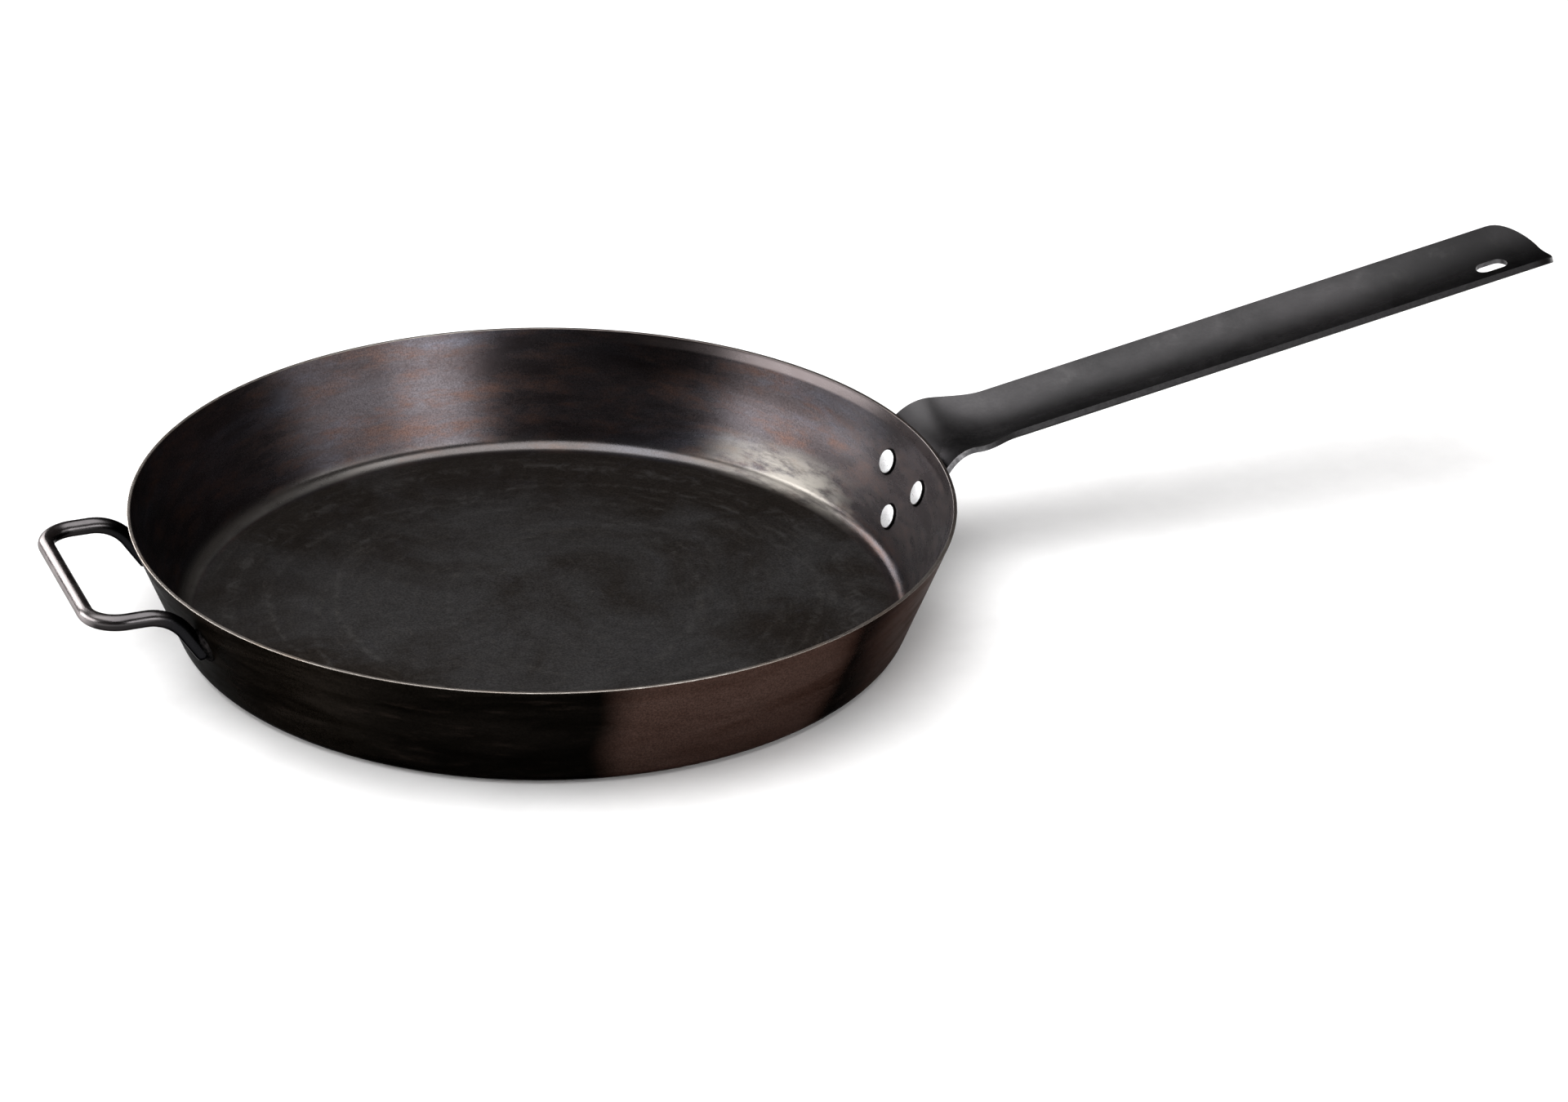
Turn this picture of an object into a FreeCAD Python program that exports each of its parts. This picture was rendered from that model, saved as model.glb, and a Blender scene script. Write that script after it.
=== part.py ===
import FreeCAD, Part
import os
import Sketcher
from FreeCAD import Placement, Rotation, Vector

# Wide steel skillet.  Millimetres, Z up.  The origin is the centre of the flat
# underside, the long handle points along +X and the helper handle along -X.
# The object is symmetric about the XZ plane.

doc = FreeCAD.newDocument("skillet")

# ---------------------------------------------------------------- driving sizes
SIZES = [
    # name, value, what it is
    ("rim_radius", 177.8, "outer radius of the pan at the rim"),
    ("pan_depth", 53.0, "rim above the underside"),
    ("wall_tilt", 21.1, "lean of the wall from upright, degrees"),
    ("pan_sheet", 1.6, "sheet thickness of the pan"),
    ("base_bend", 8.0, "outer radius between wall and floor"),
    ("rim_round", 0.4, "edge rounding of the rim"),
    ("grip_sheet", 2.4, "sheet thickness of the long handle"),
    ("plate_bite", 0.4, "depth the plate blank runs into the wall before it is trimmed"),
    ("plate_half", 30.5, "half width of the riveted plate at the rim"),
    ("plate_drop", 46.5, "lowest point of the plate below the rim"),
    ("plate_nose", 12.0, "radius of the plate's rounded lower end"),
    ("plate_taper", 40.0, "slope of the plate's lower sides, degrees"),
    ("plate_trough", 2.6, "hollow of the plate across its width"),
    ("cut_clear", 10.0, "how far the plate's cutting outline runs past the blank"),
    ("neck_bend", 19.0, "radius of the bend over the rim, hollow face"),
    ("neck_fall", 2.3, "dip of the neck after the bend, degrees"),
    ("crest_drop", 1.5, "neck valley below the rim where the bend ends"),
    ("crest_half", 27.2, "half width where the bend ends"),
    ("crest_trough", 6.8, "hollow where the bend ends"),
    ("knee_bend", 144.0, "radius between the neck and the straight grip"),
    ("grip_rise", 9.95, "slope of the straight grip, degrees"),
    ("grip_half", 21.4, "half width at the start of the grip"),
    ("grip_trough", 8.1, "hollow of the grip across its width"),
    ("tip_half", 22.1, "half width at the end of the grip"),
    ("tip_reach", 484.5, "end of the grip from the pan axis"),
    ("tip_corner", 17.5, "corner radius of the grip's end"),
    ("slot_reach", 458.4, "centre of the hanging slot from the pan axis"),
    ("slot_length", 15.0, "length of the hanging slot"),
    ("slot_width", 8.7, "width of the hanging slot"),
    ("rivet_offset", 17.0, "upper rivets to each side of the centre line"),
    ("rivet_drop", 18.2, "upper rivets below the rim"),
    ("low_rivet_drop", 36.5, "lower rivet below the rim"),
    ("rivet_shank", 5.0, "rivet shank diameter"),
    ("rivet_head", 10.5, "rivet head diameter inside the pan"),
    ("head_rise", 1.7, "height of the rivet head"),
    ("head_edge", 1.2, "upright edge of the rivet head"),
    ("tail_width", 8.6, "diameter of the closed rivet end outside"),
    ("tail_rise", 2.4, "height of the closed rivet end"),
    ("tail_edge", 0.6, "upright edge of the closed rivet end"),
    ("bore_span", 16.0, "length of the tool that drills one rivet hole"),
    ("rivet_bite", 0.3, "depth the rivet blank runs into the sheets before it is trimmed"),
    ("wire_width", 7.0, "diameter of the helper handle's bar"),
    ("bow_reach", 209.8, "centre line of the cross bar from the pan axis"),
    ("bow_half", 45.4, "half distance between the two arms"),
    ("bow_drop", 3.9, "centre line of the arms below the rim"),
    ("bow_corner", 14.0, "centre line radius of the cross bar's corners"),
    ("foot_reach", 177.2, "where arm and foot centre lines cross, from the pan axis"),
    ("foot_slope", 57.0, "slope of the feet, degrees"),
    ("foot_bend", 20.0, "centre line radius between arm and foot"),
    ("foot_length", 24.6, "foot end from the crossing of the centre lines"),
    ("weld_drop", 20.5, "centre of the weld bead below the rim"),
    ("weld_length", 18.0, "weld bead along the wall"),
    ("weld_width", 11.0, "weld bead across the foot"),
    ("weld_rise", 2.8, "weld bead above the wall"),
]

sheet = doc.addObject("Spreadsheet::Sheet", "dims")
for row, (name, value, note) in enumerate(SIZES, start=1):
    sheet.set("A%d" % row, name)
    sheet.set("B%d" % row, str(value))
    sheet.set("C%d" % row, note)
    sheet.setAlias("B%d" % row, name)
doc.recompute()


# ------------------------------------------------------- lengths worked out once
# Texts in the sheet's own formula language; every one is used in bindings below.
TAN_WALL = "tan(dims.wall_tilt)"
COS_WALL = "cos(dims.wall_tilt)"


def wall_radius(drop):
    """Outer radius of the pan at a given drop below the rim."""
    return "(dims.rim_radius - (%s) * %s)" % (drop, TAN_WALL)


# centre of the bend that carries the plate over the rim
BEND_Z = "(dims.pan_depth - dims.crest_drop - dims.neck_bend * cos(dims.neck_fall))"
BEND_X = "(%s + dims.neck_bend / %s)" % (wall_radius("dims.pan_depth - %s" % BEND_Z), COS_WALL)
# centre of the wide bend between the neck and the straight grip
KNEE_X = "(%s + (dims.neck_bend + dims.knee_bend) * sin(dims.neck_fall))" % BEND_X
KNEE_Z = "(%s + (dims.neck_bend + dims.knee_bend) * cos(dims.neck_fall))" % BEND_Z
# where the straight grip begins, on the valley of its hollow
GRIP_X = "(%s + dims.knee_bend * sin(dims.grip_rise))" % KNEE_X
GRIP_Z = "(%s - dims.knee_bend * cos(dims.grip_rise))" % KNEE_Z


def value_of(text):
    """Number that a formula gives with the present sizes."""
    return float(sheet.evalExpression(text))


def bind(target, path, text):
    """Tie one property of an object to a formula."""
    target.setExpression(path, text)


# ------------------------------------------------------------------ sketch tools
def plane_of(body, role):
    """One of the body's own origin planes or axes."""
    return [item for item in body.Origin.OriginFeatures if item.Role == role][0]


def new_sketch(body, name, role):
    """Empty sketch lying on one of the body's origin planes."""
    sketch = body.newObject("Sketcher::SketchObject", name)
    sketch.AttachmentSupport = [(plane_of(body, role), "")]
    sketch.MapMode = "FlatFace"
    return sketch


def measure(sketch, kind, geometry, position, text):
    """Fix one coordinate of a point, measured from the sketch origin, at a formula."""
    index = sketch.addConstraint(
        Sketcher.Constraint(kind, -1, 1, geometry, position, value_of(text)))
    bind(sketch, "Constraints[%d]" % index, text)


def pin(sketch, geometry, position, across, up):
    """Fix both coordinates of a point at formulas."""
    measure(sketch, "DistanceX", geometry, position, across)
    measure(sketch, "DistanceY", geometry, position, up)


def draw_outline(sketch, points, closed=True):
    """Straight-sided outline through formula points."""
    places = [Vector(value_of(x), value_of(y), 0) for x, y in points]
    last = len(points) if closed else len(points) - 1
    for i in range(last):
        start = places[i]
        end = places[(i + 1) % len(places)]
        sketch.addGeometry(Part.LineSegment(start, end), False)
    for i in range(last):
        following = (i + 1) % last
        if closed or i + 1 < last:
            sketch.addConstraint(Sketcher.Constraint("Coincident", i, 2, following, 1))
        pin(sketch, i, 1, points[i][0], points[i][1])
    if not closed:
        pin(sketch, last - 1, 2, points[-1][0], points[-1][1])


def draw_line(sketch, start, end):
    """Straight line between two formula points."""
    first = Vector(value_of(start[0]), value_of(start[1]), 0)
    last = Vector(value_of(end[0]), value_of(end[1]), 0)
    index = sketch.addGeometry(Part.LineSegment(first, last), False)
    pin(sketch, index, 1, *start)
    pin(sketch, index, 2, *end)
    return index


def draw_arc(sketch, centre, start, end, joins_start, joins_end=None, held="DistanceX"):
    """Arc of up to half a turn, turning left from start to end.

    Its ends join two points already drawn, or the end is pinned where joins_end is left
    out.  held names the one coordinate of the centre that still has to be fixed.
    """
    middle = Vector(value_of(centre[0]), value_of(centre[1]), 0)
    first = Vector(value_of(start[0]), value_of(start[1]), 0)
    last = Vector(value_of(end[0]), value_of(end[1]), 0)
    chord = last - first
    away = Vector(chord.y, -chord.x, 0)
    crown = middle + away * ((first - middle).Length / away.Length)
    index = sketch.addGeometry(Part.Arc(first, crown, last), False)
    sketch.addConstraint(Sketcher.Constraint("Coincident", index, 1, *joins_start))
    if joins_end:
        sketch.addConstraint(Sketcher.Constraint("Coincident", index, 2, *joins_end))
    else:
        pin(sketch, index, 2, *end)
    measure(sketch, held, index, 3, centre[0] if held == "DistanceX" else centre[1])
    return index


def draw_circle(sketch, across, up, radius):
    """Circle with its centre and radius tied to formulas."""
    centre = Vector(value_of(across), value_of(up), 0)
    index = sketch.addGeometry(Part.Circle(centre, Vector(0, 0, 1), value_of(radius)), False)
    pin(sketch, index, 3, across, up)
    size = sketch.addConstraint(Sketcher.Constraint("Radius", index, value_of(radius)))
    bind(sketch, "Constraints[%d]" % size, radius)


def turn_section(sketch, across, up, angle):
    """Carry a sketch on the YZ plane to a point of the XZ plane and lean it back."""
    sketch.AttachmentOffset = Placement(Vector(0, 0, 0), Rotation(Vector(1, 0, 0), -45))
    bind(sketch, ".AttachmentOffset.Base.z", across)
    bind(sketch, ".AttachmentOffset.Base.y", up)
    bind(sketch, ".AttachmentOffset.Rotation.Angle", angle)


# --------------------------------------------------------------------- pan shell
def ring_edges(shape, rings):
    """Names of the circular edges lying at the given radius and height formulas."""
    names = []
    for radius, height in rings:
        for number, edge in enumerate(shape.Edges, start=1):
            ring = edge.Curve
            if not isinstance(ring, Part.Circle):
                continue
            if abs(ring.Radius - value_of(radius)) < 0.01 and abs(ring.Center.z - value_of(height)) < 0.01:
                names.append("Edge%d" % number)
    return names


def round_rings(body, name, rings, radius):
    """Round circular edges of the body's last feature."""
    doc.recompute()
    base = body.Tip
    rounding = body.newObject("PartDesign::Fillet", name)
    rounding.Base = (base, ring_edges(base.Shape, rings))
    bind(rounding, "Radius", radius)
    return rounding


def build_pan_blank():
    """Pressed pan: flat floor, bent corner and leaning wall, before the rivet holes."""
    body = doc.addObject("PartDesign::Body", "pan_blank")
    sketch = new_sketch(body, "pan_section", "XZ_Plane")
    outer_corner = (wall_radius("dims.pan_depth"), "0")
    outer_rim = ("dims.rim_radius", "dims.pan_depth")
    inner_rim = ("dims.rim_radius - dims.pan_sheet / %s" % COS_WALL, "dims.pan_depth")
    inner_corner = (
        "%s - dims.pan_sheet / %s" % (wall_radius("dims.pan_depth - dims.pan_sheet"), COS_WALL),
        "dims.pan_sheet")
    draw_outline(sketch, [
        ("0", "0"), outer_corner, outer_rim, inner_rim, inner_corner, ("0", "dims.pan_sheet")])
    spin = body.newObject("PartDesign::Revolution", "pan_turned")
    spin.Profile = sketch
    spin.ReferenceAxis = (sketch, ["V_Axis"])
    spin.Angle = 360
    round_rings(body, "outer_bend", [outer_corner], "dims.base_bend")
    round_rings(body, "inner_bend", [inner_corner], "dims.base_bend - dims.pan_sheet")
    round_rings(body, "rim_edges", [outer_rim, inner_rim], "dims.rim_round")
    return body


# ------------------------------------------------------------------- long handle
def trough_radius(half, hollow):
    """Radius of the hollow face of a trough with the given half width and depth."""
    return "((%s)^2 + (%s)^2) / (2 * (%s))" % (half, hollow, hollow)


def trough_section(body, name, half, hollow, spot, lift="0"):
    """Cross-section of the curved sheet: two concentric arcs joined at the cut edges.

    spot is (x, z, slope) of the valley line; lift thickens the sheet on its hollow face.
    """
    sketch = new_sketch(body, name, "YZ_Plane")
    turn_section(sketch, spot[0], spot[1], "-(%s)" % spot[2])
    curve = trough_radius(half, hollow)
    inner = "(%s - (%s))" % (curve, lift)
    outer = "(%s + dims.grip_sheet)" % curve
    corners = []
    for radius in (inner, outer):
        side = "(%s) * (%s) / (%s)" % (half, radius, curve)
        up = "(%s) - sqrt((%s)^2 - (%s)^2)" % (curve, radius, side)
        corners.append((side, up))
    for radius, (side, up) in zip((inner, outer), corners):
        x, y = value_of(side), value_of(up)
        valley = Vector(0, value_of(curve) - value_of(radius), 0)
        sketch.addGeometry(Part.Arc(Vector(-x, y, 0), valley, Vector(x, y, 0)), False)
    for sign in (-1, 1):
        ends = [Vector(sign * value_of(side), value_of(up), 0) for side, up in corners]
        sketch.addGeometry(Part.LineSegment(ends[0], ends[1]), False)
    for arc in (0, 1):
        pin(sketch, arc, 3, "0", curve)
    for line, end in ((2, 1), (3, 2)):
        sign = "-" if line == 2 else ""
        for arc in (0, 1):
            sketch.addConstraint(Sketcher.Constraint("Coincident", line, arc + 1, arc, end))
            side = "%s(%s)" % (sign, corners[arc][0])
            index = sketch.addConstraint(
                Sketcher.Constraint("DistanceX", -1, 1, line, arc + 1, value_of(side)))
            bind(sketch, "Constraints[%d]" % index, side)
            radius = (inner, outer)[arc]
            if line == 2:
                size = sketch.addConstraint(Sketcher.Constraint("Radius", arc, value_of(radius)))
                bind(sketch, "Constraints[%d]" % size, radius)
    return sketch


def spot_on_wall(drop):
    """Valley point on the outside of the pan wall at a drop below the rim."""
    return wall_radius(drop), "dims.pan_depth - (%s)" % drop, "90 - dims.wall_tilt"


def spot_on_bend(share):
    """Valley point on the bend over the rim; share runs from the wall (0) to the neck (1)."""
    slope = "((90 - dims.wall_tilt) * %.4f - dims.neck_fall * %.4f)" % (1 - share, share)
    x = "%s - dims.neck_bend * sin(%s)" % (BEND_X, slope)
    z = "%s + dims.neck_bend * cos(%s)" % (BEND_Z, slope)
    return x, z, slope


def spot_on_knee(share):
    """Valley point on the wide bend between neck (0) and straight grip (1)."""
    slope = "(dims.grip_rise * %.4f - dims.neck_fall * %.4f)" % (share, 1 - share)
    x = "%s + dims.knee_bend * sin(%s)" % (KNEE_X, slope)
    z = "%s - dims.knee_bend * cos(%s)" % (KNEE_Z, slope)
    return x, z, slope


def spot_on_grip(share):
    """Valley point on the straight grip; share runs from the knee (0) to the tip (1)."""
    x = "%s + (dims.tip_reach - %s) * %.4f" % (GRIP_X, GRIP_X, share)
    z = "%s + (dims.tip_reach - %s) * %.4f * tan(dims.grip_rise)" % (GRIP_Z, GRIP_X, share)
    return x, z, "dims.grip_rise"


# sections used for the two bends, and how the grip is run out before it is cut to length
BEND_STEPS = 5
KNEE_STEPS = 4
NARROW_BY = 0.8     # share of the wide bend over which the neck reaches its least width
PAST_TIP = 1.05     # grip blank length against the finished length


def between(first, second, share):
    """Formula part of the way from one size to another."""
    return "(dims.%s * %.4f + dims.%s * %.4f)" % (first, 1 - share, second, share)


def smooth(share):
    """Eased share: starts and ends level."""
    return share * share * (3 - 2 * share)


def join_sections(body, name, stations, first, ruled):
    """Loft through a run of sections; `first` carries on from an earlier loft."""
    sections = list(first)
    for number, station in enumerate(stations, start=1):
        sections.append(trough_section(body, "%s_section_%d" % (name, number), *station))
    doc.recompute()
    loft = body.newObject("PartDesign::AdditiveLoft", name)
    loft.Profile = sections[0]
    loft.Sections = sections[1:]
    loft.Ruled = ruled
    doc.recompute()
    return sections[-1]


def build_handle_blank():
    """Pressed handle: plate on the wall, bend over the rim, hollow neck and grip."""
    body = doc.addObject("PartDesign::Body", "handle_blank")
    plate = [
        ("dims.plate_half", "dims.plate_trough", spot, "dims.plate_bite")
        for spot in (spot_on_wall("(dims.plate_drop + dims.grip_sheet)"), spot_on_bend(0))]
    neck = []
    for step in range(1, BEND_STEPS + 1):
        share = step / BEND_STEPS
        neck.append((
            between("plate_half", "crest_half", smooth(share)),
            between("plate_trough", "crest_trough", smooth(share)),
            spot_on_bend(share), "0"))
    for step in range(1, KNEE_STEPS + 1):
        share = step / KNEE_STEPS
        neck.append((
            between("crest_half", "grip_half", smooth(min(1, share / NARROW_BY))),
            between("crest_trough", "grip_trough", smooth(share)),
            spot_on_knee(share), "0"))
    grip = [("dims.tip_half", "dims.grip_trough", spot_on_grip(PAST_TIP), "0")]
    top_of_plate = join_sections(body, "plate", plate, [], True)
    end_of_neck = join_sections(body, "neck", neck, [top_of_plate], False)
    join_sections(body, "grip", grip, [end_of_neck], True)
    trim_to_wall(body, "wall_trim")
    cut_plate_outline(body)
    cut_grip_end(body)
    cut_hanging_slot(body)
    return body


def trim_to_wall(body, name):
    """Remove whatever of a body lies inside the outer cone of the pan."""
    sketch = new_sketch(body, name + "_outline", "XZ_Plane")
    draw_outline(sketch, [
        ("0", "0"),
        (wall_radius("dims.pan_depth"), "0"),
        ("dims.rim_radius", "dims.pan_depth"),
        ("0", "dims.pan_depth"),
    ])
    cut = body.newObject("PartDesign::Groove", name)
    cut.Profile = sketch
    cut.ReferenceAxis = (sketch, ["V_Axis"])
    cut.Angle = 360
    doc.recompute()


def cut_through(body, name, sketch):
    """Pocket through everything on the far side of the sketch plane."""
    before = body.Shape.Volume
    pocket = body.newObject("PartDesign::Pocket", name)
    pocket.Profile = sketch
    pocket.Type = "ThroughAll"
    pocket.Reversed = True
    doc.recompute()
    if body.Shape.Volume > before - 1:
        raise RuntimeError(name + " removed nothing")


def cut_plate_outline(body):
    """Taper the plate down to a round nose about the lower rivet."""
    sketch = new_sketch(body, "plate_outline", "YZ_Plane")
    nose_z = "(dims.pan_depth - dims.plate_drop + dims.plate_nose)"
    flank_x = "(dims.plate_nose * sin(dims.plate_taper))"
    flank_z = "(%s - dims.plate_nose * cos(dims.plate_taper))" % nose_z
    clear_x = "(dims.plate_half + dims.cut_clear)"
    clear_z = "(%s + (%s - %s) * tan(dims.plate_taper))" % (flank_z, clear_x, flank_x)
    floor_z = "(dims.pan_depth - dims.plate_drop - dims.cut_clear)"
    draw_outline(sketch, [
        ("-" + flank_x, flank_z),
        ("-" + clear_x, clear_z),
        ("-" + clear_x, floor_z),
        (clear_x, floor_z),
        (clear_x, clear_z),
        (flank_x, flank_z),
    ], closed=False)
    draw_arc(sketch, ("0", nose_z), ("-" + flank_x, flank_z), (flank_x, flank_z),
             (0, 1), (4, 2), held="DistanceY")
    cut_through(body, "plate_cut", sketch)


def cut_grip_end(body):
    """Round the two corners of the grip's end."""
    sketch = new_sketch(body, "grip_end_outline", "XY_Plane")
    edge_y = "(dims.tip_half * (1 + dims.grip_sheet / (%s)))" % trough_radius(
        "dims.tip_half", "dims.grip_trough")
    corner_x = "(dims.tip_reach - dims.tip_corner)"
    corner_y = "(%s - dims.tip_corner)" % edge_y
    clear_x = "(dims.tip_reach + dims.tip_corner)"
    clear_y = "(%s + dims.tip_corner)" % edge_y
    draw_outline(sketch, [
        (corner_x, edge_y),
        (corner_x, clear_y),
        (clear_x, clear_y),
        (clear_x, "-" + clear_y),
        (corner_x, "-" + clear_y),
        (corner_x, "-" + edge_y),
    ], closed=False)
    near, far = ("dims.tip_reach", "-" + corner_y), ("dims.tip_reach", corner_y)
    edge = draw_line(sketch, near, far)
    draw_arc(sketch, (corner_x, "-" + corner_y), (corner_x, "-" + edge_y), near,
             (4, 2), (edge, 1))
    draw_arc(sketch, (corner_x, corner_y), far, (corner_x, edge_y), (edge, 2), (0, 1))
    cut_through(body, "grip_end_cut", sketch)


def cut_hanging_slot(body):
    """Round-ended slot through the hollow near the end of the grip."""
    sketch = new_sketch(body, "slot_outline", "XY_Plane")
    reach = "(dims.slot_length - dims.slot_width) / 2"
    left = "(dims.slot_reach - %s)" % reach
    right = "(dims.slot_reach + %s)" % reach
    half = "(dims.slot_width / 2)"
    ends = [(left, "-" + half), (right, "-" + half), (right, half), (left, half)]
    near = draw_line(sketch, ends[0], ends[1])
    far = draw_line(sketch, ends[2], ends[3])
    draw_arc(sketch, (right, "0"), ends[1], ends[2], (near, 2), (far, 1))
    draw_arc(sketch, (left, "0"), ends[3], ends[0], (far, 2), (near, 1))
    cut_through(body, "slot_cut", sketch)


# ------------------------------------------------------------------------ rivets
def on_wall(drop, side, radius):
    """Position on a wall cone, `side` millimetres off the XZ plane, as a formula."""
    return "vector(sqrt(%s^2 - (%s)^2); %s; dims.pan_depth - %s)" % (radius, side, side, drop)


def rivet_placement(drop, side):
    """Frame on the inner wall: origin on the surface, Z straight out through the sheets."""
    radius = "(%s - dims.pan_sheet / %s)" % (wall_radius(drop), COS_WALL)
    return "placement(%s; rotation(asin((%s) / %s); 90 + dims.wall_tilt; 0))" % (
        on_wall(drop, side, radius), side, radius)


RIVETS = [
    # name, drop below the rim, offset to the side
    ("rivet_upper_left", "dims.rivet_drop", "dims.rivet_offset"),
    ("rivet_upper_right", "dims.rivet_drop", "-dims.rivet_offset"),
    ("rivet_lower", "dims.low_rivet_drop", "0"),
]


def build_bore(name, drop, side):
    """Cylinder that drills one rivet hole through pan and plate."""
    bore = doc.addObject("Part::Cylinder", name)
    bind(bore, "Radius", "dims.rivet_shank / 2")
    bind(bore, "Height", "dims.bore_span")
    centred = "placement(vector(0; 0; -dims.bore_span / 2); rotation(0; 0; 0))"
    bind(bore, "Placement", "%s * %s" % (rivet_placement(drop, side), centred))
    return bore


def dome_radius(half, rise):
    """Radius of a flat dome with the given half width and height."""
    return "(((%s)^2 + (%s)^2) / (2 * (%s)))" % (half, rise, rise)


def build_rivet_blank(name, drop, side):
    """Low domed head inside, shank through both sheets, closed end outside."""
    body = doc.addObject("PartDesign::Body", name)
    sketch = new_sketch(body, name + "_section", "XZ_Plane")
    stack = "(dims.pan_sheet + dims.grip_sheet)"
    draw_outline(sketch, [
        ("dims.rivet_head / 2", "-dims.head_edge"),
        ("dims.rivet_head / 2", "dims.rivet_bite"),
        ("dims.rivet_shank / 2", "dims.rivet_bite"),
        ("dims.rivet_shank / 2", stack + " - dims.rivet_bite"),
        ("dims.tail_width / 2", stack + " - dims.rivet_bite"),
        ("dims.tail_width / 2", stack + " + dims.tail_edge"),
    ], closed=False)
    tail_top = ("0", stack + " + dims.tail_rise")
    head_top = ("0", "-dims.head_rise")
    core = draw_line(sketch, tail_top, head_top)
    head = dome_radius("dims.rivet_head / 2", "dims.head_rise - dims.head_edge")
    draw_arc(sketch, ("0", "%s - dims.head_rise" % head), head_top,
             ("dims.rivet_head / 2", "-dims.head_edge"), (core, 2), (0, 1))
    tail = dome_radius("dims.tail_width / 2", "dims.tail_rise - dims.tail_edge")
    draw_arc(sketch, ("0", "%s + dims.tail_rise - %s" % (stack, tail)),
             ("dims.tail_width / 2", stack + " + dims.tail_edge"), tail_top, (4, 2), (core, 1))
    spin = body.newObject("PartDesign::Revolution", name + "_turned")
    spin.Profile = sketch
    spin.ReferenceAxis = (sketch, ["V_Axis"])
    spin.Angle = 360
    bind(body, "Placement", rivet_placement(drop, side))
    return body


def cut_away(name, base, tool):
    """Boolean cut; both inputs stay in the document as its history."""
    result = doc.addObject("Part::Cut", name)
    result.Base = base
    result.Tool = tool
    return result


# ----------------------------------------------------------------- helper handle
def build_helper_handle():
    """Bar bent into a flat bow with two feet that run down onto the wall."""
    body = doc.addObject("PartDesign::Body", "helper_handle")
    arm_z = "(dims.pan_depth - dims.bow_drop)"
    bend_run = "(dims.foot_bend * tan(dims.foot_slope / 2))"
    arm_x = "(dims.foot_reach + %s)" % bend_run
    corner_x = "(dims.bow_reach - dims.bow_corner)"
    corner_y = "(dims.bow_half - dims.bow_corner)"

    profile = new_sketch(body, "bar_section", "YZ_Plane")
    draw_circle(profile, "dims.bow_half", arm_z, "dims.wire_width / 2")
    profile.AttachmentOffset = Placement(Vector(0, 0, 0), Rotation())
    bind(profile, ".AttachmentOffset.Base.z", "-" + arm_x)

    bow = new_sketch(body, "bow_path", "XY_Plane")
    bind(bow, ".AttachmentOffset.Base.z", arm_z)
    sides = [("-" + arm_x, "dims.bow_half"), ("-" + corner_x, "dims.bow_half")]
    bar = [("-dims.bow_reach", corner_y), ("-dims.bow_reach", "-" + corner_y)]
    back = [("-" + corner_x, "-dims.bow_half"), ("-" + arm_x, "-dims.bow_half")]
    for start, end in (sides, bar, back):
        draw_line(bow, start, end)
    draw_arc(bow, ("-" + corner_x, corner_y), sides[1], bar[0], (0, 2), (1, 1))
    draw_arc(bow, ("-" + corner_x, "-" + corner_y), bar[1], back[0], (1, 2), (2, 1))
    doc.recompute()
    pipe = body.newObject("PartDesign::AdditivePipe", "bow")
    pipe.Profile = profile
    pipe.Spine = bow
    doc.recompute()

    foot = new_sketch(body, "foot_path", "XZ_Plane")
    bind(foot, ".AttachmentOffset.Base.z", "-dims.bow_half")
    low_x = "(dims.foot_reach - %s * cos(dims.foot_slope))" % bend_run
    low_z = "(%s - %s * sin(dims.foot_slope))" % (arm_z, bend_run)
    end_x = "(dims.foot_reach - dims.foot_length * cos(dims.foot_slope))"
    end_z = "(%s - dims.foot_length * sin(dims.foot_slope))" % arm_z
    start = ("-" + arm_x, arm_z)
    low = ("-" + low_x, low_z)
    end = ("-" + end_x, end_z)
    shank = draw_line(foot, low, end)
    draw_arc(foot, ("-" + arm_x, "%s - dims.foot_bend" % arm_z), low, start, (shank, 1))
    doc.recompute()
    leg = body.newObject("PartDesign::AdditivePipe", "foot")
    leg.Profile = profile
    leg.Spine = foot
    doc.recompute()
    mirror = body.newObject("PartDesign::Mirrored", "other_foot")
    mirror.Originals = [leg]
    mirror.MirrorPlane = (plane_of(body, "XZ_Plane"), [""])
    body.Tip = mirror
    doc.recompute()
    trim_to_wall(body, "foot_trim")
    return body


def build_weld_bead(name, side, core, helper):
    """Bead of weld metal around the end of one foot."""
    radius = wall_radius("dims.weld_drop")
    blank = doc.addObject("Part::Ellipsoid", name + "_blank")
    bind(blank, "Radius1", "dims.weld_rise")
    bind(blank, "Radius2", "dims.weld_length / 2")
    bind(blank, "Radius3", "dims.weld_width / 2")
    place = "vector(-sqrt(%s^2 - dims.bow_half^2); %s; dims.pan_depth - dims.weld_drop)" % (
        radius, side)
    turn = "rotation(180 deg - asin((%s) / %s); 90 + dims.wall_tilt; 0)" % (side, radius)
    bind(blank, "Placement", "placement(%s; %s)" % (place, turn))
    return cut_away(name, cut_away(name + "_on_wall", blank, core), helper)


def build_pan_core():
    """Solid cone with the pan's outer wall, used to seat the weld beads."""
    core = doc.addObject("Part::Cone", "pan_core")
    bind(core, "Radius1", wall_radius("dims.pan_depth"))
    bind(core, "Radius2", "dims.rim_radius")
    bind(core, "Height", "dims.pan_depth")
    return core


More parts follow.
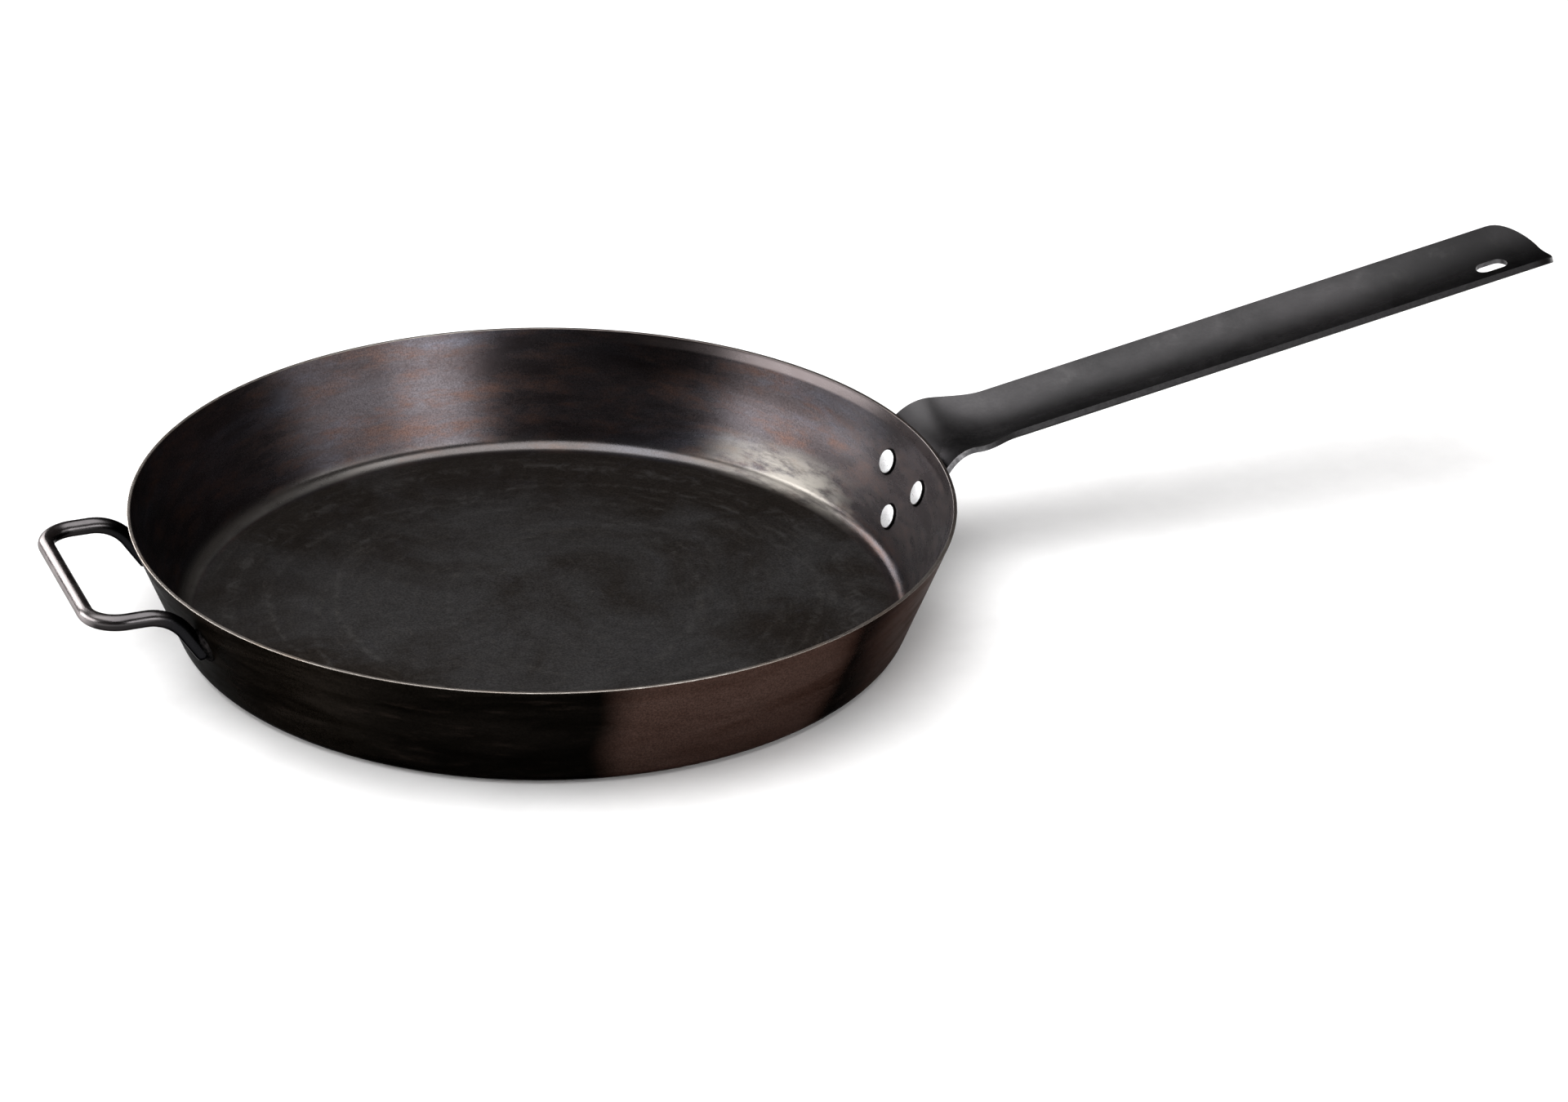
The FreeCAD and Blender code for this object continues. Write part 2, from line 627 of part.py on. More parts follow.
pan_blank = build_pan_blank()
handle_blank = build_handle_blank()
bores = doc.addObject("Part::MultiFuse", "rivet_holes")
bores.Shapes = [build_bore("hole_for_" + name, drop, side) for name, drop, side in RIVETS]
pan_shell = cut_away("pan_shell", pan_blank, bores)
long_handle = cut_away("long_handle", handle_blank, bores)
parts = [pan_shell, long_handle]
for name, drop, side in RIVETS:
    blank = build_rivet_blank(name + "_blank", drop, side)
    seated = cut_away(name + "_seated", blank, pan_shell)
    parts.append(cut_away(name, seated, long_handle))
helper_handle = build_helper_handle()
parts.append(helper_handle)
pan_core = build_pan_core()
parts.append(build_weld_bead("weld_bead_left", "-dims.bow_half", pan_core, helper_handle))
parts.append(build_weld_bead("weld_bead_right", "dims.bow_half", pan_core, helper_handle))
doc.recompute()

for item in doc.Objects:
    if "Invalid" in item.State or "Error" in item.State:
        raise RuntimeError(item.Name + " did not compute")
for item in parts:
    if item.Shape.isNull() or not item.Shape.isValid() or len(item.Shape.Solids) != 1:
        raise RuntimeError(item.Label + " is not one valid solid")
os.makedirs("parts", exist_ok=True)
for item in parts:
    item.Shape.exportStep("parts/%s.step" % item.Label)
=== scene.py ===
from math import asin, cos, hypot, pi, radians, sin, sqrt, tan

import bmesh
import bpy
from mathutils import Matrix, Vector, noise


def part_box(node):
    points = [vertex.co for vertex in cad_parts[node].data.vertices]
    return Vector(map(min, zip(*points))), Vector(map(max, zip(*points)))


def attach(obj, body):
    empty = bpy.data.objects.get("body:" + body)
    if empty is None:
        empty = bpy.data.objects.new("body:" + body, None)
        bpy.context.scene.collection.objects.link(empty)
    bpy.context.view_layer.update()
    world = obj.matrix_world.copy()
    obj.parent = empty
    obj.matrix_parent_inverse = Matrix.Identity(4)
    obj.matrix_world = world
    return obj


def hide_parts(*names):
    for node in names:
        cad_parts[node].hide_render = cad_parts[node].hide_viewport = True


# Looks of a wide black-steel skillet.  Metres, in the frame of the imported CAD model:
# Z up, pan axis at the origin, long handle along +X, helper handle along -X.

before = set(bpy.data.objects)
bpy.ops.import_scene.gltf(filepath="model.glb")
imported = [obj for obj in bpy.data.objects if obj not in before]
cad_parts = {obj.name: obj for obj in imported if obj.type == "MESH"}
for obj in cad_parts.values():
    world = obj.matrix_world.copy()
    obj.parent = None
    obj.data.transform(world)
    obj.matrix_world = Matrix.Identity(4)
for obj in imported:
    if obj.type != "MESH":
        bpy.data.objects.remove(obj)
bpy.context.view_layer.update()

# ------------------------------------------------------------------ driving sizes
MM = 0.001
HAIR = 0.002 * MM                       # keeps the visual model just inside the CAD box
PAN_LOW, PAN_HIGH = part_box("pan_shell")
HANDLE_LOW, HANDLE_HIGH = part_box("long_handle")
HELPER_LOW, HELPER_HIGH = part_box("helper_handle")

DEPTH = PAN_HIGH.z                      # rim above the underside
WALL_TILT = radians(21.1)               # lean of the wall from upright
SHEET = 1.6 * MM
BASE_BEND = 8.0 * MM                    # outer radius between wall and floor
RIM_ROUND = 0.4 * MM
RIM_RADIUS = PAN_HIGH.x - RIM_ROUND + RIM_ROUND * tan((pi / 2 + WALL_TILT) / 2)
SHEET_ACROSS = SHEET / cos(WALL_TILT)   # sheet thickness measured level

GRIP_SHEET = 2.4 * MM
EDGE_ROUND = 0.45 * MM                  # rounding of the handle's cut edges
PLATE_HALF = 30.5 * MM
PLATE_BOTTOM = HANDLE_LOW.z             # height of the plate's lowest point
PLATE_NOSE = 12.0 * MM
PLATE_TAPER = radians(40.0)
PLATE_TROUGH = 2.6 * MM
NECK_BEND = 19.0 * MM
NECK_FALL = radians(2.3)
CREST_DROP = 1.5 * MM
CREST_HALF = 27.2 * MM
CREST_TROUGH = 6.8 * MM
KNEE_BEND = 144.0 * MM
GRIP_RISE = radians(9.95)
GRIP_HALF = 21.4 * MM
GRIP_TROUGH = 8.1 * MM
TIP_HALF = 22.1 * MM
TIP_REACH = HANDLE_HIGH.x - GRIP_SHEET * sin(GRIP_RISE) - HAIR
TIP_CORNER = 17.5 * MM
SLOT_REACH = 458.4 * MM
SLOT_LENGTH = 15.0 * MM
SLOT_WIDTH = 8.7 * MM

RIVETS = [
    # node, drop below the rim, offset to the side
    ("rivet_upper_left", 18.2 * MM, 17.0 * MM),
    ("rivet_upper_right", 18.2 * MM, -17.0 * MM),
    ("rivet_lower", 36.5 * MM, 0.0),
]
RIVET_SHANK = 5.0 * MM
RIVET_HEAD = 10.5 * MM
HEAD_RISE = 1.7 * MM
TAIL_WIDTH = 8.6 * MM
TAIL_RISE = 2.4 * MM
HEAD_CROWN = 0.12 * MM                  # extra swell of the head between middle and edge
DENT = 0.05 * MM                        # depth of the hammer marks
RIVET_BITE = 0.3 * MM                   # how far head and closed end sink into the sheets
HEAD_EDGE = 1.2 * MM                    # upright edge of the head
TAIL_EDGE = 0.6 * MM                    # upright edge of the closed end
RIVET_ROUND = 0.3 * MM

BAR_RADIUS = 7.0 * MM / 2
BOW_REACH = -HELPER_LOW.x - BAR_RADIUS  # centre line of the cross bar
BOW_HALF = HELPER_HIGH.y - BAR_RADIUS
BOW_Z = HELPER_HIGH.z - BAR_RADIUS
BOW_CORNER = 14.0 * MM
FOOT_REACH = 177.2 * MM
FOOT_SLOPE = radians(57.0)
FOOT_BEND = 20.0 * MM
FOOT_LENGTH = 24.6 * MM

FOOT_BITE = 0.3 * MM                    # how far a foot sinks into the wall

WELD_DROP = 20.5 * MM
WELD_LENGTH = 18.0 * MM
WELD_WIDTH = 11.0 * MM
WELD_RISE = 2.8 * MM
WELD_BITE = 0.15 * MM                   # how far a bead sinks into the wall


def wall_radius(height):
    """Outer radius of the pan wall at a height above the underside."""
    return RIM_RADIUS - (DEPTH - height) * tan(WALL_TILT)


# ------------------------------------------------------------------- mesh helpers
def new_piece(name, points, faces, materials, face_materials=None):
    """Smooth-shaded mesh object from points and faces."""
    mesh = bpy.data.meshes.new(name)
    mesh.from_pydata([tuple(p) for p in points], [], faces)
    for material in materials:
        mesh.materials.append(material)
    if face_materials:
        mesh.polygons.foreach_set("material_index", face_materials)
    mesh.polygons.foreach_set("use_smooth", [True] * len(faces))
    mesh.update()
    piece = bpy.data.objects.new(name, mesh)
    bpy.context.scene.collection.objects.link(piece)
    return piece


def face_outwards(piece):
    """Turn every face of a closed piece to the outside."""
    work = bmesh.new()
    work.from_mesh(piece.data)
    bmesh.ops.remove_doubles(work, verts=work.verts, dist=1e-7)
    bmesh.ops.recalc_face_normals(work, faces=work.faces)
    work.to_mesh(piece.data)
    work.free()


def seat(piece, node):
    """Let a finished piece stand for its CAD node."""
    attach(piece, "root")
    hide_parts(node)


def rounded(corners, radii, steps):
    """Open 2-D outline through corners, each rounded by its own radius."""
    outline = []
    for i, (corner, radius) in enumerate(zip(corners, radii)):
        here = Vector(corner)
        if radius == 0:
            outline.append(here)
            continue
        into = (here - Vector(corners[i - 1])).normalized()
        out = (Vector(corners[i + 1]) - here).normalized()
        turn = into.angle_signed(out)
        reach = radius * tan(abs(turn) / 2)
        start = here - into * reach
        side = Vector((-into.y, into.x)) if into.cross(out) > 0 else Vector((into.y, -into.x))
        centre = start + side * radius
        sweep = abs(turn) if into.cross(out) > 0 else -abs(turn)
        for step in range(steps + 1):
            outline.append(centre + Matrix.Rotation(sweep * step / steps, 2) @ (start - centre))
    return outline


def divided(outline, longest):
    """The outline with its long straight stretches cut into shorter ones."""
    result = [outline[0]]
    for start, end in zip(outline, outline[1:]):
        count = max(1, round((end - start).length / longest))
        for step in range(1, count + 1):
            result.append(start.lerp(end, step / count))
    return result


def turned(outline, around):
    """Points and faces of a closed outline spun about Z; its ends lie on the axis."""
    points = [(0.0, 0.0, outline[0].y)]
    inner = outline[1:-1]
    for p in inner:
        for k in range(around):
            angle = 2 * pi * k / around
            points.append((p.x * cos(angle), p.x * sin(angle), p.y))
    points.append((0.0, 0.0, outline[-1].y))
    last = len(points) - 1
    faces = []
    for k in range(around):
        following = (k + 1) % around
        faces.append((0, 1 + following, 1 + k))
        for ring in range(len(inner) - 1):
            a = 1 + ring * around
            b = a + around
            faces.append((a + k, a + following, b + following, b + k))
        a = 1 + (len(inner) - 1) * around
        faces.append((a + k, a + following, last))
    return points, faces


# ---------------------------------------------------------------- shader helpers
def shader(name, metallic=1.0, edge_shine=1.0):
    """New material with its node tree and its main shader.

    Dark oxides are given as metal of low reflectance; edge_shine below one
    keeps them from turning mirror-like at a glancing angle.
    """
    material = bpy.data.materials.new(name)
    material.use_nodes = True
    tree = material.node_tree
    surface = tree.nodes["Principled BSDF"]
    surface.inputs["Metallic"].default_value = metallic
    surface.inputs["Specular Tint"].default_value = (edge_shine, edge_shine, edge_shine, 1.0)
    return material, tree, surface


def add(tree, kind, inputs=None, **settings):
    """New node; inputs are numbers, colours or sockets to link."""
    node = tree.nodes.new(kind)
    for key, value in settings.items():
        setattr(node, key, value)
    for key, value in (inputs or {}).items():
        if isinstance(value, bpy.types.NodeSocket):
            tree.links.new(value, node.inputs[key])
        else:
            node.inputs[key].default_value = value
    return node


def place(tree):
    """Position on the object."""
    return add(tree, "ShaderNodeTexCoord").outputs["Object"]


def grain(tree, where, scale, detail=3.0, rough=0.55, bend=0.0):
    """Noise value between 0 and 1 with features of about 1/scale metres."""
    return add(tree, "ShaderNodeTexNoise", {
        "Vector": where, "Scale": scale, "Detail": detail, "Roughness": rough,
        "Distortion": bend}).outputs["Fac"]


def curve(tree, value, low, high, to_low=0.0, to_high=1.0):
    """Value carried smoothly from one range to another and held at its ends."""
    return add(tree, "ShaderNodeMapRange", {
        "Value": value, "From Min": low, "From Max": high, "To Min": to_low,
        "To Max": to_high}, interpolation_type="SMOOTHSTEP").outputs["Result"]


def sums(tree, operation, first, second):
    """One arithmetic step."""
    return add(tree, "ShaderNodeMath", {0: first, 1: second}, operation=operation).outputs[0]


def blend(tree, share, first, second, mode="MIX"):
    """Mix of two colours."""
    node = add(tree, "ShaderNodeMix", data_type="RGBA", blend_type=mode)
    for socket, value in ((node.inputs[0], share), (node.inputs[6], first), (node.inputs[7], second)):
        if isinstance(value, bpy.types.NodeSocket):
            tree.links.new(value, socket)
        elif isinstance(value, tuple):
            socket.default_value = (*value, 1.0)
        else:
            socket.default_value = value
    return node.outputs[2]


def window(tree, value, low, high, soft):
    """One between low and high, zero outside, with edges `soft` wide."""
    rise = curve(tree, value, low - soft / 2, low + soft / 2)
    fall = curve(tree, value, high - soft / 2, high + soft / 2, 1.0, 0.0)
    return sums(tree, "MULTIPLY", rise, fall)


def share_of(tree, mask, amount):
    """A mask made weaker."""
    return sums(tree, "MULTIPLY", mask, amount)


def emboss(tree, surface, height, depth, distance):
    """Relief of the surface from a height value."""
    bump = add(tree, "ShaderNodeBump", {
        "Height": height, "Strength": depth, "Distance": distance})
    tree.links.new(bump.outputs["Normal"], surface.inputs["Normal"])


def polar(tree):
    """Radius and wall coordinates (turn, height) about the pan axis."""
    where = place(tree)
    parts = add(tree, "ShaderNodeSeparateXYZ", {0: where})
    across = sums(tree, "MULTIPLY", parts.outputs["X"], parts.outputs["X"])
    along = sums(tree, "MULTIPLY", parts.outputs["Y"], parts.outputs["Y"])
    radius = sums(tree, "SQRT", sums(tree, "ADD", across, along), 0.0)
    turn = sums(tree, "ARCTAN2", parts.outputs["Y"], parts.outputs["X"])
    return where, radius, turn, parts.outputs["Z"]


def ringwise(tree, turn, radius, height, stretch):
    """Coordinates in which noise runs in arcs around the pan; no seam at half a turn."""
    cosine = add(tree, "ShaderNodeMath", {0: turn}, operation="COSINE").outputs[0]
    sine = add(tree, "ShaderNodeMath", {0: turn}, operation="SINE").outputs[0]
    return add(tree, "ShaderNodeCombineXYZ", {
        "X": share_of(tree, cosine, stretch),
        "Y": share_of(tree, sine, stretch),
        "Z": sums(tree, "ADD", radius, height)}).outputs[0]


# --------------------------------------------------------------------- materials
FLOOR_EDGE = 152.0 * MM                 # radius where the flat floor ends
WALL_FOOT = 157.6 * MM                  # radius where the straight wall starts

# tone zones, from one angle about the pan axis to another; set to the photo's tones.
# They paint highlights, shade and reflections, in places mixed with rubbing and brown patina
BURNISH_AND_HIGHLIGHT = (radians(12.0), radians(37.0))        # painted highlight with some rubbed metal, low on the wall
GRIP_SIDE_SHEEN = (radians(-32.0), radians(13.0))       # painted light, paler on the long handle's side
UPPER_SHADE = (radians(3.0), radians(64.0))        # painted shade high on the wall
LIP_HIGHLIGHT = (radians(-14.0), radians(54.0))        # band under the rim with a painted highlight
BEND_HIGHLIGHT = (radians(100.0), radians(165.0))    # painted highlight on the bend
BROWN_FRONT_SHEEN = (radians(-99.3), radians(-64.0))    # outer wall browner: brown patina and a painted reflection
PATCHES = (BROWN_FRONT_SHEEN[1] + 0.1, radians(152.0))  # brown patches, up to the helper handle
LEFT_END_LIGHT = (radians(-167.0), radians(-135.0))     # painted light on the soot by the helper's near foot
RIM_SHADE = (radians(-30.0), radians(80.0))        # rim with painted shade

LIP_BAND = (DEPTH - 4.6 * MM, DEPTH - 0.6 * MM)   # heights of the band with the painted highlight
UPPER_WALL = (24.0 * MM, 46.0 * MM)               # heights over which the painted shade darkens the wall
OUTER_SCUFF = (133.0 * MM, 139.0 * MM)            # radii of the scuff along the floor's edge
SCUFF_WIDTH = 3.0 * MM
SCUFFS = [
    # centre east and north of the pan axis, radius, strength
    (18.0 * MM, 6.0 * MM, 104.0 * MM, 0.28),
    (-22.0 * MM, 14.0 * MM, 92.0 * MM, 0.25),
    (9.0 * MM, -20.0 * MM, 112.0 * MM, 0.18),
    (30.0 * MM, -8.0 * MM, 71.0 * MM, 0.15),
]
DARK_TIP = (HANDLE_HIGH.x - 100.0 * MM, HANDLE_HIGH.x - 15.0 * MM)
HEAD_SHADOW_RING = (RIVET_HEAD / 2 + 0.5 * MM, RIVET_HEAD / 2 + 1.3 * MM)  # painted shadow ring round a rivet head

SOOT_SHINE = 0.40                       # shine of the oxides at a glancing angle
OXIDE_SHINE = 0.40
HANDLE_SHINE = 0.15


def wall_patina(tree, where, arcs):
    """Brown to violet-grey patina with rust and a fine grain."""
    cloud = grain(tree, arcs, 55.0, 6.0, 0.66, 0.3)
    rust = grain(tree, arcs, 110.0, 6.0, 0.70)
    blue = grain(tree, arcs, 40.0, 6.0, 0.68, 0.5)
    fine = grain(tree, where, 1500.0, 2.0, 0.6)
    tone = curve(tree, cloud, 0.30, 0.70)
    colour = blend(tree, tone, (0.042, 0.0340, 0.0350), (0.061, 0.0550, 0.0600))
    colour = blend(tree, curve(tree, rust, 0.44, 0.74, 0.0, 0.9), colour, (0.086, 0.050, 0.040))
    colour = blend(tree, curve(tree, blue, 0.50, 0.78, 0.0, 0.7), colour, (0.074, 0.077, 0.096))
    shade = curve(tree, fine, 0.25, 0.75, 0.70, 1.30)
    return blend(tree, 1.0, colour, shade, "MULTIPLY"), rust, fine


def floor_patina(tree, where, arcs, radius):
    """Dark neutral floor with specks, faint turning marks and rubbed arcs."""
    cloud = grain(tree, where, 13.0, 5.0, 0.62, 0.8)
    fine = grain(tree, where, 1100.0, 3.0, 0.65)
    speck = grain(tree, where, 420.0, 4.0, 0.7)
    rings = grain(tree, arcs, 300.0, 4.0, 0.6)
    smear = grain(tree, where, 110.0, 6.0, 0.75, 1.0)
    middle = curve(tree, radius, 70.0 * MM, 135.0 * MM, 0.10, -0.06)
    colour = blend(tree, curve(tree, sums(tree, "ADD", cloud, middle), 0.38, 0.68),
                   (0.025, 0.0210, 0.0185), (0.047, 0.0450, 0.0450))
    colour = blend(tree, curve(tree, smear, 0.50, 0.80, 0.0, 0.4), colour, (0.070, 0.068, 0.075))
    colour = blend(tree, curve(tree, rings, 0.52, 0.80, 0.0, 0.4), colour, (0.074, 0.068, 0.062))
    colour = blend(tree, curve(tree, speck, 0.66, 0.78, 0.0, 0.5), colour, (0.130, 0.118, 0.105))
    shade = curve(tree, fine, 0.25, 0.75, 0.60, 1.40)
    colour = blend(tree, 1.0, colour, shade, "MULTIPLY")
    scuffs = scuff_rings(tree, where, radius, smear)
    return blend(tree, scuffs, colour, (0.110, 0.105, 0.100)), speck


def scuff_rings(tree, where, radius, smear):
    """Broken rubbed arcs on the floor: one near its edge, others off centre."""
    worn = curve(tree, smear, 0.44, 0.62)
    total = share_of(tree, window(tree, radius, *OUTER_SCUFF, 5.0 * MM), 0.28)
    for east, north, size, strength in SCUFFS:
        offset = add(tree, "ShaderNodeVectorMath", {0: where, 1: (east, north, 0.0)},
                     operation="DISTANCE")
        ring = window(tree, offset.outputs["Value"], size, size + SCUFF_WIDTH, SCUFF_WIDTH)
        total = sums(tree, "MAXIMUM", total, share_of(tree, ring, strength))
    return sums(tree, "MULTIPLY", total, worn)


def grip_side_sheen_mask(tree, turn):
    """The stretch of wall on the long handle's side, given painted light."""
    return window(tree, turn, *GRIP_SIDE_SHEEN, 0.5)


def painted_highlight_masks(tree, arcs, radius, turn, height):
    """How far the bend, the low wall and the lip get painted highlights; on the bend and the low wall
    these are partly burnished metal.
    """
    # bend: painted highlight, partly burnished metal
    bend = window(tree, radius, FLOOR_EDGE + 0.5 * MM, WALL_FOOT, 2.5 * MM)
    extra = share_of(tree, window(tree, turn, *BEND_HIGHLIGHT, 0.5), 0.65)
    usual = curve(tree, grip_side_sheen_mask(tree, turn), 0.0, 1.0, 0.31, 0.08)
    bend = sums(tree, "MULTIPLY", bend, sums(tree, "ADD", extra, usual))

    # low wall: painted highlight in patches, partly rubbed metal
    patchy = curve(tree, grain(tree, arcs, 80.0, 6.0, 0.7), 0.34, 0.60)
    low_wall = window(tree, radius, FLOOR_EDGE, WALL_FOOT + 4.0 * MM, 5.0 * MM)
    stretch = window(tree, turn, *BURNISH_AND_HIGHLIGHT, 0.40)
    rubbed_and_highlight = sums(tree, "MULTIPLY", sums(tree, "MULTIPLY", low_wall, stretch), patchy)

    # band under the rim: painted highlight
    lip_sheen = window(tree, height, *LIP_BAND, 1.4 * MM)
    lip_sheen = sums(tree, "MULTIPLY", lip_sheen, window(tree, turn, *LIP_HIGHLIGHT, 0.5))
    return bend, rubbed_and_highlight, share_of(tree, lip_sheen, 0.8)


def rivet_shadow_rings(tree, where):
    """Thin dark ring round the foot of every rivet head: a painted shadow."""
    total = 0.0
    for _, drop, side in RIVETS:
        seat_radius = wall_radius(DEPTH - drop) - SHEET_ACROSS
        turn = asin(side / seat_radius)
        spot = (seat_radius * cos(turn), side, DEPTH - drop)
        away = add(tree, "ShaderNodeVectorMath", {0: where, 1: spot}, operation="DISTANCE")
        ring = curve(tree, away.outputs["Value"], *HEAD_SHADOW_RING, 1.0, 0.0)
        total = sums(tree, "MAXIMUM", ring, total)
    return total


def wall_with_painted_light(tree, wall, radius, turn, height):
    """Wall colour with painted light, paler and more even on the grip's side, and painted shade high
    up behind.
    """
    # painted light on the grip's side of the wall
    grip_side_sheen = sums(tree, "MULTIPLY", grip_side_sheen_mask(tree, turn),
                     curve(tree, radius, WALL_FOOT - 3.0 * MM, WALL_FOOT + 4.0 * MM))
    wall = blend(tree, share_of(tree, grip_side_sheen, 0.65), wall, (0.064, 0.060, 0.061))
    wall = blend(tree, 1.0, wall, curve(tree, grip_side_sheen, 0.0, 1.0, 1.0, 3.1), "MULTIPLY")
    # painted shade high on the wall behind
    painted_upper_shade = sums(tree, "MULTIPLY", curve(tree, height, *UPPER_WALL),
                 window(tree, turn, *UPPER_SHADE, 0.5))
    return blend(tree, 1.0, wall, curve(tree, painted_upper_shade, 0.0, 1.0, 1.0, 0.42), "MULTIPLY")


def pan_inside_steel():
    """Seasoned inner face: patinated satin wall with painted highlights and shade, bend partly
    burnished and partly painted highlight, matt floor.
    """
    material, tree, surface = shader("pan_inside_steel", 0.95, OXIDE_SHINE)
    where, radius, turn, height = polar(tree)
    arcs = ringwise(tree, turn, radius, height, 0.06)
    wall, rust, fine = wall_patina(tree, where, arcs)
    wall = wall_with_painted_light(tree, wall, radius, turn, height)
    floor_arcs = ringwise(tree, turn, radius, height, 0.02)
    floor, speck = floor_patina(tree, where, floor_arcs, radius)
    floor_share = curve(tree, radius, FLOOR_EDGE - 3.0 * MM, FLOOR_EDGE + 3.0 * MM, 1.0, 0.0)
    bend, rubbed_and_highlight, lip_sheen = painted_highlight_masks(tree, arcs, radius, turn, height)
    colour = blend(tree, floor_share, wall, floor)
    # painted highlights on the bend, the low wall and under the rim
    colour = blend(tree, bend, colour, (0.150, 0.143, 0.135))
    colour = blend(tree, rubbed_and_highlight, colour, (0.290, 0.272, 0.245))
    colour = blend(tree, lip_sheen, colour, (0.096, 0.082, 0.082))
    # painted shadow round the rivet heads
    colour = blend(tree, rivet_shadow_rings(tree, where), colour, (0.006, 0.005, 0.005))
    tree.links.new(colour, surface.inputs["Base Color"])

    rough = curve(tree, floor_share, 0.0, 1.0, 0.28, 0.50)
    rough = sums(tree, "ADD", rough, curve(tree, rust, 0.35, 0.80, -0.02, 0.06))
    rough = sums(tree, "ADD", rough, share_of(tree, rubbed_and_highlight, 0.08))
    tree.links.new(rough, surface.inputs["Roughness"])
    relief = sums(tree, "ADD", share_of(tree, rust, 0.3), share_of(tree, fine, 0.5))
    emboss(tree, surface, sums(tree, "ADD", relief, share_of(tree, speck, 0.5)), 0.30, 0.00008)
    return material


def pan_outside_steel():
    """Outer face: sooty black with stretches of brown patina; the front stretch also paints a
    reflection, and the soot is painted lighter by the helper's near foot.
    """
    material, tree, surface = shader("pan_outside_steel", 1.0, SOOT_SHINE)
    where, radius, turn, height = polar(tree)
    arcs = ringwise(tree, turn, radius, height, 0.045)
    streaks = grain(tree, arcs, 150.0, 6.0, 0.65)
    cloud = curve(tree, grain(tree, arcs, 45.0, 5.0, 0.62, 0.6), 0.36, 0.66)
    fine = grain(tree, where, 1300.0, 2.0, 0.6)

    soot = blend(tree, cloud, (0.0034, 0.0028, 0.0022), (0.0085, 0.0071, 0.0060))
    # painted light: soot darker on most of the wall, lighter by the helper's near foot
    left_end_light = window(tree, turn, *LEFT_END_LIGHT, 0.4)
    soot = blend(tree, 1.0, soot, curve(tree, left_end_light, 0.0, 1.0, 0.65, 1.9), "MULTIPLY")
    brown = blend(tree, cloud, (0.044, 0.0255, 0.0205), (0.063, 0.0390, 0.0325))
    colour = blend(tree, brown_patches(tree, where, radius, turn), soot, brown)
    colour = blend(tree, curve(tree, streaks, 0.52, 0.78, 0.0, 0.25), colour, (0.045, 0.033, 0.028))
    shade = curve(tree, fine, 0.25, 0.75, 0.65, 1.35)
    tree.links.new(blend(tree, 1.0, colour, shade, "MULTIPLY"), surface.inputs["Base Color"])
    tree.links.new(curve(tree, streaks, 0.3, 0.75, 0.40, 0.54), surface.inputs["Roughness"])
    emboss(tree, surface, streaks, 0.35, 0.00008)
    return material


def brown_patches(tree, where, radius, turn):
    """Where the outer face is brown: one stretch of patina with a painted reflection, looser patches,
    clouds underneath.
    """
    wander = curve(tree, grain(tree, where, 22.0, 1.0), 0.3, 0.7, -0.03, 0.03)
    uneven = sums(tree, "ADD", turn, wander)
    # front stretch: brown patina and painted reflection
    front_sheen = window(tree, uneven, *BROWN_FRONT_SHEEN, 0.13)
    patches = sums(tree, "MULTIPLY",
                   window(tree, uneven, *PATCHES, 0.6),
                   curve(tree, grain(tree, where, 11.0, 3.0, 0.5), 0.38, 0.60))
    on_wall = curve(tree, radius, FLOOR_EDGE - 8.0 * MM, FLOOR_EDGE + 3.0 * MM)
    wall = sums(tree, "MULTIPLY", sums(tree, "MAXIMUM", front_sheen, patches), on_wall)
    under = curve(tree, grain(tree, where, 17.0, 5.0, 0.62, 0.6), 0.42, 0.68, 0.0, 0.75)
    under = sums(tree, "MULTIPLY", under, sums(tree, "SUBTRACT", 1.0, on_wall))
    return sums(tree, "ADD", wall, under)


def rim_steel():
    """Bright sheared rim, with painted shade on the far side and by the long handle."""
    material, tree, surface = shader("rim_steel", 1.0)
    where, radius, turn, height = polar(tree)
    nicks = grain(tree, ringwise(tree, turn, radius, height, 0.10), 420.0, 4.0, 0.7)
    stain = grain(tree, where, 30.0, 4.0, 0.6)
    colour = blend(tree, curve(tree, nicks, 0.3, 0.75), (0.20, 0.18, 0.165), (0.34, 0.315, 0.29))
    colour = blend(tree, curve(tree, stain, 0.5, 0.7, 0.0, 0.5), colour, (0.22, 0.165, 0.125))
    # painted shade on the rim
    painted_rim_shade = window(tree, turn, *RIM_SHADE, 0.5)
    colour = blend(tree, share_of(tree, painted_rim_shade, 0.8), colour, (0.075, 0.062, 0.060))
    tree.links.new(colour, surface.inputs["Base Color"])
    tree.links.new(curve(tree, nicks, 0.3, 0.7, 0.45, 0.28), surface.inputs["Roughness"])
    emboss(tree, surface, nicks, 0.2, 0.00003)
    return material


def handle_oxide():
    """Smooth dark oxide of the pressed handle, shown darker towards its tip."""
    material, tree, surface = shader("handle_oxide", 1.0, HANDLE_SHINE)
    where = place(tree)
    cloud = grain(tree, where, 22.0, 4.0, 0.6, 0.5)
    fine = grain(tree, where, 900.0, 2.0, 0.5)
    rub = grain(tree, where, 75.0, 5.0, 0.7, 0.4)
    colour = blend(tree, curve(tree, cloud, 0.35, 0.68), (0.040, 0.039, 0.040), (0.052, 0.050, 0.0515))
    colour = blend(tree, curve(tree, rub, 0.56, 0.74, 0.0, 0.4), colour, (0.068, 0.066, 0.066))
    east = add(tree, "ShaderNodeSeparateXYZ", {0: where}).outputs["X"]
    # darker towards the tip
    darker_to_tip = curve(tree, east, *DARK_TIP, 1.0, 0.55)
    colour = blend(tree, 1.0, colour, darker_to_tip, "MULTIPLY")
    tree.links.new(colour, surface.inputs["Base Color"])
    rough = curve(tree, rub, 0.3, 0.75, 0.46, 0.38)
    rough = sums(tree, "ADD", rough, curve(tree, fine, 0.3, 0.7, -0.02, 0.03))
    tree.links.new(rough, surface.inputs["Roughness"])
    emboss(tree, surface, fine, 0.30, 0.00006)
    return material


